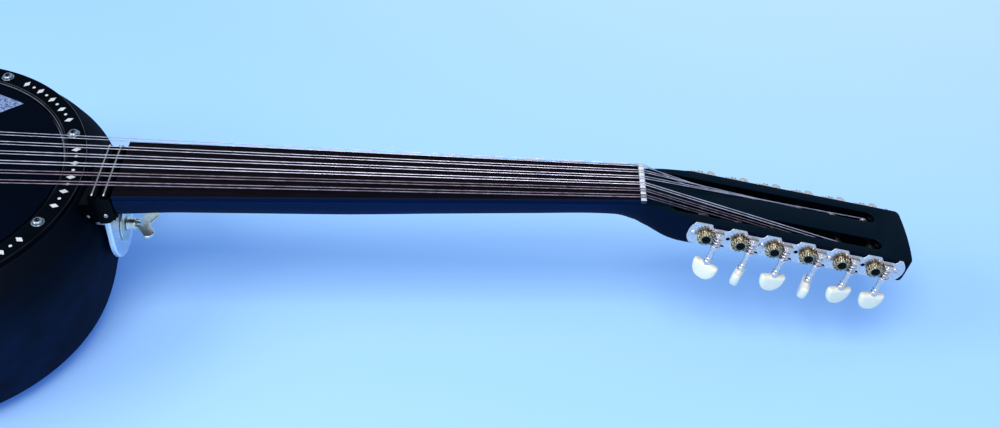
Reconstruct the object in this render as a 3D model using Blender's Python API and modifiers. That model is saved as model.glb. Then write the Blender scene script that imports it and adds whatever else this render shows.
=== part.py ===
"""A twelve-string electric cumbus: a fretless banjo-lute with a spun metal bowl.

The neck runs along +X, the drumhead faces +Z, and the bowl stands on its flat base at
z = 0 with the bowl's axis on the world's Z axis. The sizes are real ones, in metres.
"""

import math

import bmesh
import bpy
from mathutils import Matrix, Vector

MM = 0.001
SEAT = 0.3 * MM

# The bowl, a spun shell, from its rolled bearing edge to its flat base.
BOWL_HEIGHT = 135 * MM
BOWL_RADIUS = 146.3 * MM
BOWL_WIDEST_DEPTH = 41 * MM
BOWL_WALL = 2 * MM
BOWL_BOW = 1.5 * MM
BOWL_HEEL_INSET = 15.8 * MM
BOWL_HEEL_HEIGHT = 29 * MM
BOWL_BASE_INSET = 38.5 * MM
GUTTER_DEPTH = 11.2 * MM
TURN_STEPS = 32

# The tension plate that eight bolts pull down on the drumhead's hoop.
PLATE_INSET = 16.3 * MM
PLATE_WIDTH = 15.7 * MM
PLATE_THICKNESS = 4 * MM
PLATE_CHAMFER = 1.2 * MM
BOLT_COUNT = 8
BOLT_INSET = 8 * MM
BOLT_HEAD_RADIUS = 4.7 * MM
BOLT_HEAD_HEIGHT = 2.8 * MM
BOLT_SHANK_RADIUS = 2.1 * MM
BOLT_NUT_RADIUS = 3.6 * MM
BOLT_NUT_HEIGHT = 3 * MM
BOLT_CLEARANCE = 0.4 * MM

# The drumhead, its hoop and what stands on it.
BEARING_INSET = 2.9 * MM
SKIN_BELOW_PLATE = 0.6 * MM
SKIN_THICKNESS = 0.4 * MM
SKIN_DROP = 7.3 * MM
HOOP_WIDTH = 2.2 * MM
HOOP_HEIGHT = 3.3 * MM
BRIDGE_FROM_EDGE = 43.4 * MM
BRIDGE_HEIGHT = 20.4 * MM
BRIDGE_WIDTH = 78 * MM
BRIDGE_THICKNESS = 6 * MM
BRIDGE_TOP_THICKNESS = 2.6 * MM
BRIDGE_ARCH_HEIGHT = 9 * MM
PICKUP_RADIUS = 13.5 * MM
PICKUP_THICKNESS = 0.9 * MM
LEAD_RADIUS = 1.1 * MM
LEAD_DROP = 6 * MM
LEAD_BOW = 9 * MM

# The neck, from the bowl's side to the nut's near face; heights are above the plate's top.
NECK_AHEAD = 11.2 * MM
NECK_LENGTH = 353.6 * MM
NUT_LENGTH = 4.1 * MM
NUT_TOP_ABOVE_PLATE = 5.6 * MM
NUT_BEVEL = 1 * MM
JOINT_HALF_WIDTH = 29.4 * MM
NUT_HALF_WIDTH = 18.9 * MM
BOARD_START_HEIGHT = 9.1 * MM
BOARD_END_HEIGHT = 4.9 * MM
BOARD_THICKNESS = 3.6 * MM
NECK_DEPTH_HEEL = 27.5 * MM
NECK_DEPTH_LOW = 24.7 * MM
NECK_DEPTH_HIGH = 17.4 * MM
VOLUTE_DEPTH = 26.5 * MM
VOLUTE_START = 20 * MM

# The slotted head, in its own frame: along, across and above its face.
HEAD_TILT = math.radians(13)
HEAD_LENGTH = 192 * MM
HEAD_HALF_WIDTH = 26.6 * MM
HEAD_THICKNESS = 18.6 * MM
HEAD_FLARE = 36 * MM
HEAD_EVEN = 50 * MM
HEAD_CORNER = 6 * MM
SLOT_START = 18 * MM
SLOT_END_MARGIN = 4.6 * MM
SLOT_WIDTH = 9.8 * MM
SLOT_CENTRE = 13.9 * MM

# The tuning machines: a worm on each key turns a toothed wheel on each string roller.
TUNERS_A_SIDE = 6
TUNER_FIRST = 43.5 * MM
TUNER_PITCH = 24.4 * MM
TUNER_DEPTH = 8.9 * MM
WHEEL_TEETH = 14
WHEEL_PITCH_RADIUS = 5.47 * MM
WHEEL_WIDTH = 3.6 * MM
WHEEL_STANDOFF = 1.7 * MM
WORM_PITCH_RADIUS = 2.4 * MM
WORM_LENGTH = 7.4 * MM
WORM_SIDES = 7
POST_SIDES = 8
PIN_SIDES = 8
TOOTH_PLAY = 0.27 * MM
TIP_PLAY = 0.3 * MM
TOOTH_TAPER = 0.45
ROLLER_RADIUS = 3.2 * MM
ROLLER_CLEARANCE = 0.5 * MM
ROLLER_JOURNAL_LENGTH = 4.2 * MM
WHEEL_SCREW_RADIUS = 3.1 * MM
WHEEL_SCREW_HEIGHT = 0.8 * MM
KEY_SHAFT_RADIUS = 1.5 * MM
KEY_FERRULE_RADIUS = 2.5 * MM
KEY_FERRULE_LENGTH = 4.4 * MM
KEY_BUTTON_WIDTH = 17.4 * MM
KEY_BUTTON_LENGTH = 12 * MM
KEY_BUTTON_THICKNESS = 6.4 * MM
KEY_BUTTON_DEPTH = 30.5 * MM
STRIP_THICKNESS = 1.2 * MM
STRIP_HALF_HEIGHT = 6.4 * MM
STRIP_STEP = 2.7 * MM
STRIP_STEP_BEFORE = 8 * MM
STRIP_STEP_AFTER = 2.4 * MM
STRIP_STEP_SLOPE = 1.6 * MM
STRIP_LOW_END = 12.4 * MM
STRIP_HIGH_END = 21.7 * MM
STRIP_HOLE_RADIUS = 1.4 * MM
STRIP_HOLE_BEFORE = 8.5 * MM
TAB_THICKNESS = 1.3 * MM
TAB_HALF_WIDTH = 3 * MM
TAB_BEYOND_WORM = 3.9 * MM
TAB_REACH = 3.4 * MM
TAB_HOLE_CLEARANCE = 0.45 * MM

# How far each key stands turned from face-on, from the neck's end to the head's end.
NEAR_KEY_TURNS = (-30, 62, 10, 73, 16, 10)
FAR_KEY_TURNS = (20, 72, -12, 40, 84, 15)

# The strings: six courses of two, thin ones on the far side.
COURSES = 6
COURSE_GAP_AT_NUT = 6.5 * MM
COURSE_GAP_AT_BRIDGE = 11.3 * MM
PAIR_GAP_AT_NUT = 2.3 * MM
PAIR_GAP_AT_BRIDGE = 3.2 * MM
PAIR_GAP_AT_TAIL = 4 * MM
COURSE_GAP_AT_TAIL = 10.6 * MM
THIN_STRING_RADIUS = 0.25 * MM
THICK_STRING_RADIUS = 0.42 * MM
STRING_ON_FIRST_ROLLER = 11.5 * MM
STRING_ON_LAST_ROLLER = 17.6 * MM

# The tailpiece, bent from plate, that holds the strings' ends.
TAIL_WIDTH = 64 * MM
TAIL_NOTCH = 1.8 * MM
TAIL_NOTCH_DEPTH = 3 * MM
TAIL_PLATE = 2.4 * MM
TAIL_REACH = 41 * MM
TAIL_TOP = 6.4 * MM
TAIL_DROP = 58 * MM
TAIL_BOLT_RADIUS = 2.6 * MM
TAIL_BOLT_HEAD = 5 * MM
TAIL_NUT_HEIGHT = 3.4 * MM
TAIL_CORNER = 12 * MM

# The neck joint: two castings on one hinge pin, drawn together by a stud and wing nut.
# What is "ahead" is measured along the neck from the bowl's side.
HINGE_AHEAD = 4.4 * MM
HINGE_DEPTH = 9.7 * MM
HINGE_PIN_RADIUS = 1.9 * MM
HINGE_PIN_PLAY = 0.3 * MM
RIDGE_HEIGHT = 7.3 * MM
RIDGE_THICKNESS = 7.2 * MM
RIDGE_GAP = 0.8 * MM
RIDGE_HALF_LENGTH = 26.9 * MM
RIDGE_OVER_CHEEK = 2.4 * MM
RIDGE_AHEAD_OF_HINGE = 0.95 * MM
SADDLE_REACH = 12 * MM
SHOE_FOOT_DEPTH = 15 * MM
BRACKET_HALF_WIDTH = 28.2 * MM
BRACKET_DROP = 17 * MM
CHEEK_THICKNESS = 3.4 * MM
CHEEK_AHEAD = 9.9 * MM
CHEEK_CORNER = 7 * MM
TONGUE_AHEAD = 1 * MM
TONGUE_THICKNESS = 3.5 * MM
TONGUE_HALF_WIDTH = 26 * MM
TONGUE_ROUND_ABOVE_STUD = 3.2 * MM
TONGUE_LIP = 6 * MM
TONGUE_PLAY = 0.6 * MM
TONGUE_LIP_HEIGHT = 2.2 * MM
STUD_DEPTH = 42.5 * MM
STUD_RADIUS = 3 * MM
STUD_AHEAD = 16.7 * MM
STUD_HEAD_RADIUS = 5.5 * MM
STUD_HEAD_LENGTH = 4 * MM
STUD_SLOT_PLAY = 0.7 * MM
WASHER_RADIUS = 12 * MM
WASHER_THICKNESS = 1.7 * MM
WING_HUB_RADIUS = 5 * MM
WING_HUB_LENGTH = 6.4 * MM
WING_SPAN = 28.8 * MM
WING_THICKNESS = 2.6 * MM
WING_REACH = 21.3 * MM
WING_BORE_DEPTH = 11.5 * MM

# The output socket, on the bowl's side by the tail.
JACK_ANGLE = math.radians(180)
JACK_DEPTH = 74 * MM
JACK_BUSH_RADIUS = 5 * MM
JACK_BORE = 3.45 * MM
JACK_FLANGE_RADIUS = 9 * MM
JACK_FLANGE_THICKNESS = 2.2 * MM
JACK_BARREL_RADIUS = 6.6 * MM
JACK_BODY_LENGTH = 24 * MM
JACK_THREAD_OUT = 1.5 * MM

PLATE_TOP = BOWL_HEIGHT
BOWL_SIDE = BOWL_RADIUS + BOWL_WALL / 2
BOWL_HEEL_RADIUS = BOWL_RADIUS - BOWL_HEEL_INSET
BOWL_BASE_RADIUS = BOWL_HEEL_RADIUS - BOWL_BASE_INSET
PLATE_RADIUS = BOWL_RADIUS - PLATE_INSET
PLATE_BORE = PLATE_RADIUS - PLATE_WIDTH
BOLT_CIRCLE = PLATE_RADIUS - BOLT_INSET
BEARING_RADIUS = PLATE_BORE - BEARING_INSET
BRIDGE_X = BRIDGE_FROM_EDGE - BEARING_RADIUS
HINGE_X = BOWL_SIDE + HINGE_AHEAD
CHEEK_END = BOWL_SIDE + CHEEK_AHEAD
TONGUE_BACK = BOWL_SIDE + TONGUE_AHEAD
STUD_END = BOWL_SIDE + STUD_AHEAD
NECK_START = BOWL_SIDE + NECK_AHEAD
NUT_X = NECK_START + NECK_LENGTH
STRIP_INNER = HEAD_HALF_WIDTH + SEAT
STRIP_OUTER = STRIP_INNER + STRIP_THICKNESS
WHEEL_INNER = STRIP_OUTER + WHEEL_STANDOFF
WHEEL_MIDDLE = WHEEL_INNER + WHEEL_WIDTH / 2
WORM_OFFSET = WHEEL_PITCH_RADIUS + WORM_PITCH_RADIUS
THREAD_PITCH = 2 * math.pi * WHEEL_PITCH_RADIUS / WHEEL_TEETH
TOOTH_RISE = THREAD_PITCH / math.pi
HEAD_X = NUT_X + NUT_LENGTH
HINGE_Z = PLATE_TOP - HINGE_DEPTH
STUD_Z = PLATE_TOP - STUD_DEPTH


def board_top(x):
    """The fingerboard's top, which falls evenly from the joint to the nut."""
    share = (x - NECK_START) / (NUT_X - NECK_START)
    rise = BOARD_START_HEIGHT + (BOARD_END_HEIGHT - BOARD_START_HEIGHT) * share
    return PLATE_TOP + rise


def neck_half_width(x):
    """Half the neck's width, which tapers evenly from the joint to the nut."""
    share = (x - NECK_START) / (NUT_X - NECK_START)
    return JOINT_HALF_WIDTH + (NUT_HALF_WIDTH - JOINT_HALF_WIDTH) * share


HEAD_Z = board_top(NUT_X) - BOARD_THICKNESS - SEAT


def clear_scene():
    """Remove every object that a new file starts with."""
    for item in list(bpy.data.objects):
        bpy.data.objects.remove(item, do_unlink=True)


def new_collection(name):
    """A collection of the given name in the scene."""
    group = bpy.data.collections.new(name)
    bpy.context.scene.collection.children.link(group)
    return group


def material(name, colour, roughness, metallic):
    """A Principled material of one colour."""
    result = bpy.data.materials.new(name)
    result.use_nodes = True
    shader = result.node_tree.nodes["Principled BSDF"]
    shader.inputs["Base Color"].default_value = (*colour, 1.0)
    shader.inputs["Roughness"].default_value = roughness
    shader.inputs["Metallic"].default_value = metallic
    return result


def empty(name, parent, place):
    """An empty that carries pieces, placed by a matrix in its parent's frame."""
    result = bpy.data.objects.new(name, None)
    PARTS.objects.link(result)
    result.parent = parent
    result.matrix_basis = place
    return result


def tidy(form):
    """Merge doubled points and turn every face outwards."""
    bmesh.ops.remove_doubles(form, verts=form.verts, dist=1e-7)
    bmesh.ops.recalc_face_normals(form, faces=form.faces)


def to_mesh(name, form):
    """Write a bmesh into a new mesh, shaded smooth with sharp edges kept."""
    tidy(form)
    mesh = bpy.data.meshes.new(name)
    form.to_mesh(mesh)
    form.free()
    mesh.shade_smooth()
    mesh.set_sharp_from_angle(angle=math.radians(35))
    return mesh


def place_mesh(name, mesh, surface, parent=None, place=None):
    """Put a mesh into the collection of parts, with its material and its place."""
    if not mesh.materials:
        mesh.materials.append(surface)
    result = bpy.data.objects.new(name, mesh)
    PARTS.objects.link(result)
    result.parent = parent
    if place is not None:
        result.matrix_basis = place
    return result


def box(low, high):
    """A box between two corners."""
    form = bmesh.new()
    bmesh.ops.create_cube(form, size=1.0)
    low = Vector(low)
    high = Vector(high)
    size = high - low
    bmesh.ops.scale(form, vec=size, verts=form.verts)
    bmesh.ops.translate(form, vec=(low + high) / 2, verts=form.verts)
    return form


AXIS_TURNS = {
    "X": Matrix.Rotation(math.radians(90), 4, "Y"),
    "Y": Matrix.Rotation(math.radians(-90), 4, "X"),
    "Z": Matrix.Identity(4),
}


def rod(start, length, radius, axis="Z", sides=16, end_radius=None):
    """A cylinder or cone that runs from a point along one axis."""
    form = bmesh.new()
    end = radius if end_radius is None else end_radius
    bmesh.ops.create_cone(form, cap_ends=True, segments=sides, radius1=radius, radius2=end, depth=length)
    bmesh.ops.translate(form, vec=(0, 0, length / 2), verts=form.verts)
    bmesh.ops.transform(form, matrix=AXIS_TURNS[axis], verts=form.verts)
    bmesh.ops.translate(form, vec=start, verts=form.verts)
    return form


def evaluated(item):
    """The mesh of a helper object with its modifiers applied, as a bmesh; the helper is removed."""
    bpy.context.view_layer.update()
    graph = bpy.context.evaluated_depsgraph_get()
    mesh = bpy.data.meshes.new_from_object(item.evaluated_get(graph))
    result = bmesh.new()
    result.from_mesh(mesh)
    bpy.data.meshes.remove(mesh)
    bpy.data.objects.remove(item, do_unlink=True)
    bmesh.ops.remove_doubles(result, verts=result.verts, dist=1e-6)
    return result


def profile_object(profile, sides, closed):
    """A hidden object that turns a profile of radius and height pairs round Z with a Screw modifier."""
    edges = [(k, k + 1) for k in range(len(profile) - 1)]
    if closed:
        edges.append((len(profile) - 1, 0))
    mesh = bpy.data.meshes.new("profile")
    mesh.from_pydata([(radius, 0, height) for radius, height in profile], edges, [])
    result = bpy.data.objects.new("profile", mesh)
    CUTTERS.objects.link(result)
    result.hide_render = True
    result.display_type = "WIRE"
    screw = result.modifiers.new("turn", "SCREW")
    screw.steps = sides
    screw.render_steps = sides
    screw.use_merge_vertices = True
    screw.merge_threshold = 0.00001
    return result


def turned(profile, sides, axis="Z"):
    """A turned solid: its profile starts and ends on the axis, or is a closed ring off it."""
    form = evaluated(profile_object(profile, sides, profile[0][0] > 0))
    bmesh.ops.transform(form, matrix=AXIS_TURNS[axis], verts=form.verts)
    return form


def turned_shell(path, wall, sides):
    """A turned sheet of even thickness on both sides of a path, made with Solidify."""
    item = profile_object(path, sides, False)
    sheet = item.modifiers.new("wall", "SOLIDIFY")
    sheet.thickness = wall
    sheet.offset = 0
    sheet.use_even_offset = True
    return evaluated(item)


def lofted(sections):
    """A closed solid through sections with equal numbers of points, capped at both ends."""
    form = bmesh.new()
    rings = [[form.verts.new(point) for point in section] for section in sections]
    count = len(rings[0])
    for near, far in zip(rings, rings[1:]):
        for k in range(count):
            following = (k + 1) % count
            form.faces.new((near[k], near[following], far[following], far[k]))
    form.faces.new(rings[0])
    form.faces.new(rings[-1])
    return form


OUTLINE_TURNS = {
    "X": Matrix(((0, 0, 1, 0), (1, 0, 0, 0), (0, 1, 0, 0), (0, 0, 0, 1))),
    "Y": Matrix(((1, 0, 0, 0), (0, 0, 1, 0), (0, 1, 0, 0), (0, 0, 0, 1))),
    "Z": Matrix.Identity(4),
}


def extruded(outline, start, end, axis="Z"):
    """A flat outline of point pairs, a filled curve pulled out along one axis.

    On Z the pairs are X and Y, on X they are Y and Z, and on Y they are X and Z.
    """
    curve = bpy.data.curves.new("outline", "CURVE")
    curve.dimensions = "2D"
    curve.fill_mode = "BOTH"
    curve.extrude = (end - start) / 2
    line = curve.splines.new("POLY")
    line.points.add(len(outline) - 1)
    for target, (a, b) in zip(line.points, outline):
        target.co = (a, b, 0, 1)
    line.use_cyclic_u = True
    item = bpy.data.objects.new("outline", curve)
    CUTTERS.objects.link(item)
    item.location = (0, 0, (start + end) / 2)
    bpy.context.view_layer.update()
    place = item.matrix_world.copy()
    form = evaluated(item)
    bmesh.ops.transform(form, matrix=OUTLINE_TURNS[axis] @ place, verts=form.verts)
    return form


def arc(centre, radius, start, end, steps):
    """Points along an arc, with its angles in degrees."""
    result = []
    for k in range(steps + 1):
        angle = math.radians(start + (end - start) * k / steps)
        result.append((centre[0] + radius * math.cos(angle), centre[1] + radius * math.sin(angle)))
    return result


def spline(points, steps):
    """A smooth curve through points, with a number of steps between each two."""
    first = points[0]
    last = points[-1]
    row = [first, *points, last]
    result = []
    for k in range(1, len(row) - 2):
        before, here, there, after = row[k - 1:k + 3]
        for step in range(steps):
            t = step / steps
            weights = (
                (-t + 2 * t ** 2 - t ** 3) / 2,
                (2 - 5 * t ** 2 + 3 * t ** 3) / 2,
                (t + 4 * t ** 2 - 3 * t ** 3) / 2,
                (t ** 3 - t ** 2) / 2,
            )
            corners = (before, here, there, after)
            result.append(tuple(sum(w * c[axis] for w, c in zip(weights, corners)) for axis in range(len(here))))
    result.append(tuple(last))
    return result


def helper_object(name, form):
    """A hidden object that shapes a part by a Boolean."""
    tidy(form)
    mesh = bpy.data.meshes.new(name)
    form.to_mesh(mesh)
    form.free()
    result = bpy.data.objects.new(name, mesh)
    CUTTERS.objects.link(result)
    result.hide_render = True
    result.display_type = "WIRE"
    return result


def combine(base, forms, operation):
    """Apply Booleans to a bmesh one after another, and return the new mesh's bmesh."""
    holder = helper_object("shape", base)
    for number, form in enumerate(forms):
        other = helper_object(f"shape_{operation.lower()}_{number}", form)
        modifier = holder.modifiers.new(other.name, "BOOLEAN")
        modifier.operation = operation
        modifier.solver = "EXACT"
        modifier.object = other
    bpy.context.view_layer.update()
    graph = bpy.context.evaluated_depsgraph_get()
    mesh = bpy.data.meshes.new_from_object(holder.evaluated_get(graph))
    for item in list(CUTTERS.objects):
        bpy.data.objects.remove(item, do_unlink=True)
    result = bmesh.new()
    result.from_mesh(mesh)
    bpy.data.meshes.remove(mesh)
    bmesh.ops.remove_doubles(result, verts=result.verts, dist=1e-6)
    bmesh.ops.dissolve_degenerate(result, edges=result.edges, dist=1e-6)
    bmesh.ops.dissolve_limit(result, angle_limit=0.002, verts=result.verts, edges=result.edges)
    return result


def join(base, *forms):
    """One solid from several that meet."""
    return combine(base, forms, "UNION")


def cut(base, *forms):
    """A solid with others taken out of it."""
    return combine(base, forms, "DIFFERENCE")


def offset_path(path, distance):
    """A flat path moved sideways by a distance, to its left as it runs."""
    result = []
    for k, point in enumerate(path):
        before = path[max(k - 1, 0)]
        after = path[min(k + 1, len(path) - 1)]
        run = Vector((after[0] - before[0], after[1] - before[1])).normalized()
        result.append((point[0] - run.y * distance, point[1] + run.x * distance))
    return result


def rim_height():
    """The height of the middle of the bowl's sheet under the plate."""
    return PLATE_TOP - PLATE_THICKNESS - SEAT - BOWL_WALL / 2


def bowl_shelf():
    """The middle of the bowl's sheet from its bearing edge through the gutter to the plate's shelf."""
    gutter = PLATE_TOP - GUTTER_DEPTH
    step = BOLT_CIRCLE - BOLT_NUT_RADIUS - BOLT_CLEARANCE - BOWL_WALL / 2
    return [
        (BEARING_RADIUS, PLATE_TOP - SKIN_THICKNESS - SKIN_BELOW_PLATE - SEAT),
        (BEARING_RADIUS, gutter),
        (step, gutter),
        (step, rim_height()),
    ]


def bowl_side():
    """The middle of the bowl's sheet from the plate's edge down its side to the flat base."""
    return spline(
        [
            (PLATE_RADIUS, rim_height()),
            (PLATE_RADIUS + PLATE_INSET * 0.72, PLATE_TOP - BOWL_WIDEST_DEPTH * 0.5),
            (BOWL_RADIUS, PLATE_TOP - BOWL_WIDEST_DEPTH),
            (BOWL_HEEL_RADIUS, BOWL_HEEL_HEIGHT),
            (BOWL_HEEL_RADIUS - BOWL_HEEL_HEIGHT * 0.5, BOWL_HEEL_HEIGHT * 0.26),
            (BOWL_BASE_RADIUS, BOWL_WALL / 2),
        ],
        2,
    )


def bowl_path():
    """The middle of the bowl's sheet, from its bearing edge to its base, as radius and height."""
    return bowl_shelf() + bowl_side() + [(0.0, BOWL_WALL / 2)]


def bowl_outside(clearance):
    """The bowl's outer form as a solid, grown by a clearance, for what seats on the bowl."""
    side = bowl_side()[1:] + [(0.0, BOWL_WALL / 2)]
    outer = offset_path(side, BOWL_WALL / 2 + clearance)
    return turned([(0.0, PLATE_TOP)] + [(outer[0][0], PLATE_TOP)] + outer[:-1] + [(0.0, -clearance)], TURN_STEPS)


def head_frame():
    """The frame at the start of the head's face: along the head, across it and out of its face."""
    return Matrix.Translation((HEAD_X, 0, HEAD_Z)) @ Matrix.Rotation(HEAD_TILT, 4, "Y")


def bolt_angles():
    """The bolts' angles round the plate, with the neck midway between two."""
    return [2 * math.pi * (k + 0.5) / BOLT_COUNT for k in range(BOLT_COUNT)]


def at_angle(radius, angle, height):
    """A point at a radius and angle round the bowl's axis."""
    return Vector((radius * math.cos(angle), radius * math.sin(angle), height))


def make_bowl():
    """The spun bowl: shelf, gutter and rolled edge for the head, bulging side and flat base."""
    form = turned_shell(bowl_path(), BOWL_WALL, TURN_STEPS)
    hole = BOLT_SHANK_RADIUS + BOLT_CLEARANCE
    reach = 4 * BOWL_WALL
    low = rim_height() - reach / 2
    drills = [rod(at_angle(BOLT_CIRCLE, a, low), reach, hole, sides=8) for a in bolt_angles()]
    drills.append(rod((BOWL_RADIUS - reach / 2, 0, STUD_Z), reach, STUD_RADIUS + SEAT, "X", PIN_SIDES))
    tail_hole = TAIL_BOLT_RADIUS + SEAT
    drills.append(rod((-BOWL_RADIUS - reach / 2, 0, tail_bolt_z()), reach, tail_hole, "X", PIN_SIDES))
    jack = rod((-JACK_BODY_LENGTH / 2, 0, 0), JACK_BODY_LENGTH, JACK_BUSH_RADIUS + SEAT, "X", 12)
    bmesh.ops.transform(jack, matrix=jack_frame(), verts=jack.verts)
    drills.append(jack)
    place_mesh("bowl", to_mesh("bowl", cut(form, *drills)), BLACK_PAINT)


def bolt_profile():
    """A domed bolt with its nut, from the dome's top down, with heights from the plate's top."""
    grip = PLATE_THICKNESS + SEAT + BOWL_WALL + SEAT
    return [
        (0.0, BOLT_HEAD_HEIGHT),
        (BOLT_HEAD_RADIUS * 0.72, BOLT_HEAD_HEIGHT * 0.72),
        (BOLT_HEAD_RADIUS, -PLATE_THICKNESS / 8),
        (BOLT_SHANK_RADIUS, -PLATE_THICKNESS / 2),
        (BOLT_SHANK_RADIUS, -grip),
        (BOLT_NUT_RADIUS, -grip),
        (BOLT_NUT_RADIUS, -grip - BOLT_NUT_HEIGHT),
        (0.0, -grip - BOLT_NUT_HEIGHT),
    ]


def make_top_plate():
    """The flat tension ring with its eight domed bolts and their nuts."""
    low = PLATE_TOP - PLATE_THICKNESS
    profile = [
        (PLATE_BORE, low),
        (PLATE_BORE, PLATE_TOP - PLATE_CHAMFER),
        (PLATE_BORE + PLATE_CHAMFER, PLATE_TOP),
        (PLATE_RADIUS - PLATE_CHAMFER / 2, PLATE_TOP),
        (PLATE_RADIUS, PLATE_TOP - PLATE_CHAMFER / 2),
        (PLATE_RADIUS, low),
    ]
    bolts = []
    for angle in bolt_angles():
        bolt = turned(bolt_profile(), 8)
        bmesh.ops.translate(bolt, vec=at_angle(BOLT_CIRCLE, angle, PLATE_TOP), verts=bolt.verts)
        bolts.append(bolt)
    form = join(turned(profile, TURN_STEPS), *bolts)
    place_mesh("top_plate", to_mesh("top_plate", form), BLACK_PAINT)


def make_drumhead():
    """The plastic head: flat, bent down over the bowl's edge, with a lip under its hoop; and the hoop."""
    top = PLATE_TOP - SKIN_BELOW_PLATE
    bottom = top - SKIN_THICKNESS
    inside = BEARING_RADIUS + BOWL_WALL / 2 + SEAT
    outside = inside + SKIN_THICKNESS
    low = top - SKIN_DROP
    lip = outside + HOOP_WIDTH
    skin = [
        (0.0, top),
        (outside - 0.5 * MM, top),
        (outside, top - 0.5 * MM),
        (outside, low + SKIN_THICKNESS),
        (lip, low + SKIN_THICKNESS),
        (lip, low),
        (inside, low),
        (inside, bottom),
        (0.0, bottom),
    ]
    place_mesh("drum_head", to_mesh("drum_head", turned(skin, TURN_STEPS)), BLACK_SKIN)
    bore = outside + SEAT
    seat = low + SKIN_THICKNESS + SEAT
    ring = [
        (bore, seat),
        (bore, seat + HOOP_HEIGHT - SEAT),
        (bore + HOOP_WIDTH, seat + HOOP_HEIGHT - SEAT),
        (bore + HOOP_WIDTH, seat),
    ]
    place_mesh("tension_hoop", to_mesh("tension_hoop", turned(ring, TURN_STEPS)), STEEL)


def make_bridge():
    """The wooden bridge: two feet, a low arch between them and a thin top edge."""
    half = BRIDGE_WIDTH / 2
    base = PLATE_TOP - SKIN_BELOW_PLATE + SEAT
    foot = 13 * MM
    arch = half - foot
    lower = [(arch * math.cos(a), base + BRIDGE_ARCH_HEIGHT * math.sin(a))
             for a in [math.pi * k / 8 for k in range(9)]]
    top = base + BRIDGE_HEIGHT
    upper = [
        (-half, base),
        (-half, base + 4 * MM),
        (-half + 5 * MM, top - 5 * MM),
        (-half + 8 * MM, top),
        (half - 8 * MM, top),
        (half - 5 * MM, top - 5 * MM),
        (half, base + 4 * MM),
        (half, base),
    ]
    outline = lower + upper
    form = extruded(outline, BRIDGE_X - BRIDGE_THICKNESS / 2, BRIDGE_X + BRIDGE_THICKNESS / 2, "X")
    narrow = BRIDGE_TOP_THICKNESS / BRIDGE_THICKNESS
    for vertex in form.verts:
        share = (vertex.co.z - base) / BRIDGE_HEIGHT
        vertex.co.x = BRIDGE_X + (vertex.co.x - BRIDGE_X) * (1 + (narrow - 1) * share)
    place_mesh("bridge", to_mesh("bridge", form), MAPLE)


def make_pickup():
    """The contact pickup under the head, below the bridge, and its lead to the socket."""
    under = PLATE_TOP - SKIN_BELOW_PLATE - SKIN_THICKNESS - SEAT
    disc = rod((BRIDGE_X, 0, under - PICKUP_THICKNESS), PICKUP_THICKNESS, PICKUP_RADIUS, sides=20)
    place_mesh("pickup", to_mesh("pickup", disc), BRASS)
    end = jack_frame() @ Vector((-JACK_BODY_LENGTH - SEAT, 0, 0))
    start = Vector((BRIDGE_X, -PICKUP_RADIUS * 0.4, under - PICKUP_THICKNESS - SEAT))
    below = start + Vector((0, 0, -LEAD_DROP))
    behind = jack_frame() @ Vector((-JACK_BODY_LENGTH * 1.5, 0, 0))
    bow = Vector((0, -LEAD_BOW, 0))
    route = [start, below, below.lerp(behind, 0.3) + bow, below.lerp(behind, 0.7) + bow, behind, end]
    curve = bpy.data.curves.new("pickup_lead", "CURVE")
    curve.dimensions = "3D"
    curve.bevel_depth = LEAD_RADIUS
    curve.bevel_resolution = 1
    curve.use_fill_caps = True
    points = spline([tuple(point) for point in route], 3)
    line = curve.splines.new("POLY")
    line.points.add(len(points) - 1)
    for target, point in zip(line.points, points):
        target.co = (*point, 1.0)
    curve.materials.append(RUBBER)
    lead = bpy.data.objects.new("pickup_lead", curve)
    PARTS.objects.link(lead)


def bowl_side_at(depth):
    """The bowl's outer radius at a depth below the plate's top, and its slope there."""
    outer = offset_path(bowl_side(), BOWL_WALL / 2)
    height = PLATE_TOP - depth
    pairs = [(upper, lower) for upper, lower in zip(outer, outer[1:]) if lower[1] <= height]
    upper, lower = pairs[0]
    share = (upper[1] - height) / (upper[1] - lower[1])
    slope = math.atan2(upper[0] - lower[0], upper[1] - lower[1])
    return upper[0] + (lower[0] - upper[0]) * share, slope


def jack_frame():
    """The socket's frame on the bowl's side: its X axis points squarely out of the sheet."""
    radius, slope = bowl_side_at(JACK_DEPTH)
    centre = at_angle(radius, JACK_ANGLE, PLATE_TOP - JACK_DEPTH)
    return Matrix.Translation(centre) @ Matrix.Rotation(JACK_ANGLE, 4, "Z") @ Matrix.Rotation(slope, 4, "Y")


def make_jack():
    """The output socket: a bush through the bowl, a flange outside and a barrel inside."""
    seat = 2 * SEAT
    shoulder = -BOWL_WALL - BOWL_BOW
    flange = seat + JACK_FLANGE_THICKNESS
    profile = [
        (0.0, -JACK_BODY_LENGTH),
        (JACK_BARREL_RADIUS, -JACK_BODY_LENGTH),
        (JACK_BARREL_RADIUS, shoulder),
        (JACK_BUSH_RADIUS, shoulder),
        (JACK_BUSH_RADIUS, seat),
        (JACK_FLANGE_RADIUS, seat),
        (JACK_FLANGE_RADIUS, flange),
        (JACK_BUSH_RADIUS, flange),
        (JACK_BUSH_RADIUS, flange + JACK_THREAD_OUT),
        (JACK_BORE, flange + JACK_THREAD_OUT),
        (JACK_BORE, -JACK_BODY_LENGTH + 3 * MM),
        (0.0, -JACK_BODY_LENGTH + 3 * MM),
    ]
    form = turned(profile, 12, "X")
    bmesh.ops.transform(form, matrix=jack_frame(), verts=form.verts)
    place_mesh("output_jack", to_mesh("output_jack", form), NICKEL)


def tail_bolt_z():
    """The tail bolt's height, at the bowl's widest place."""
    return PLATE_TOP - BOWL_WIDEST_DEPTH


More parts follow.
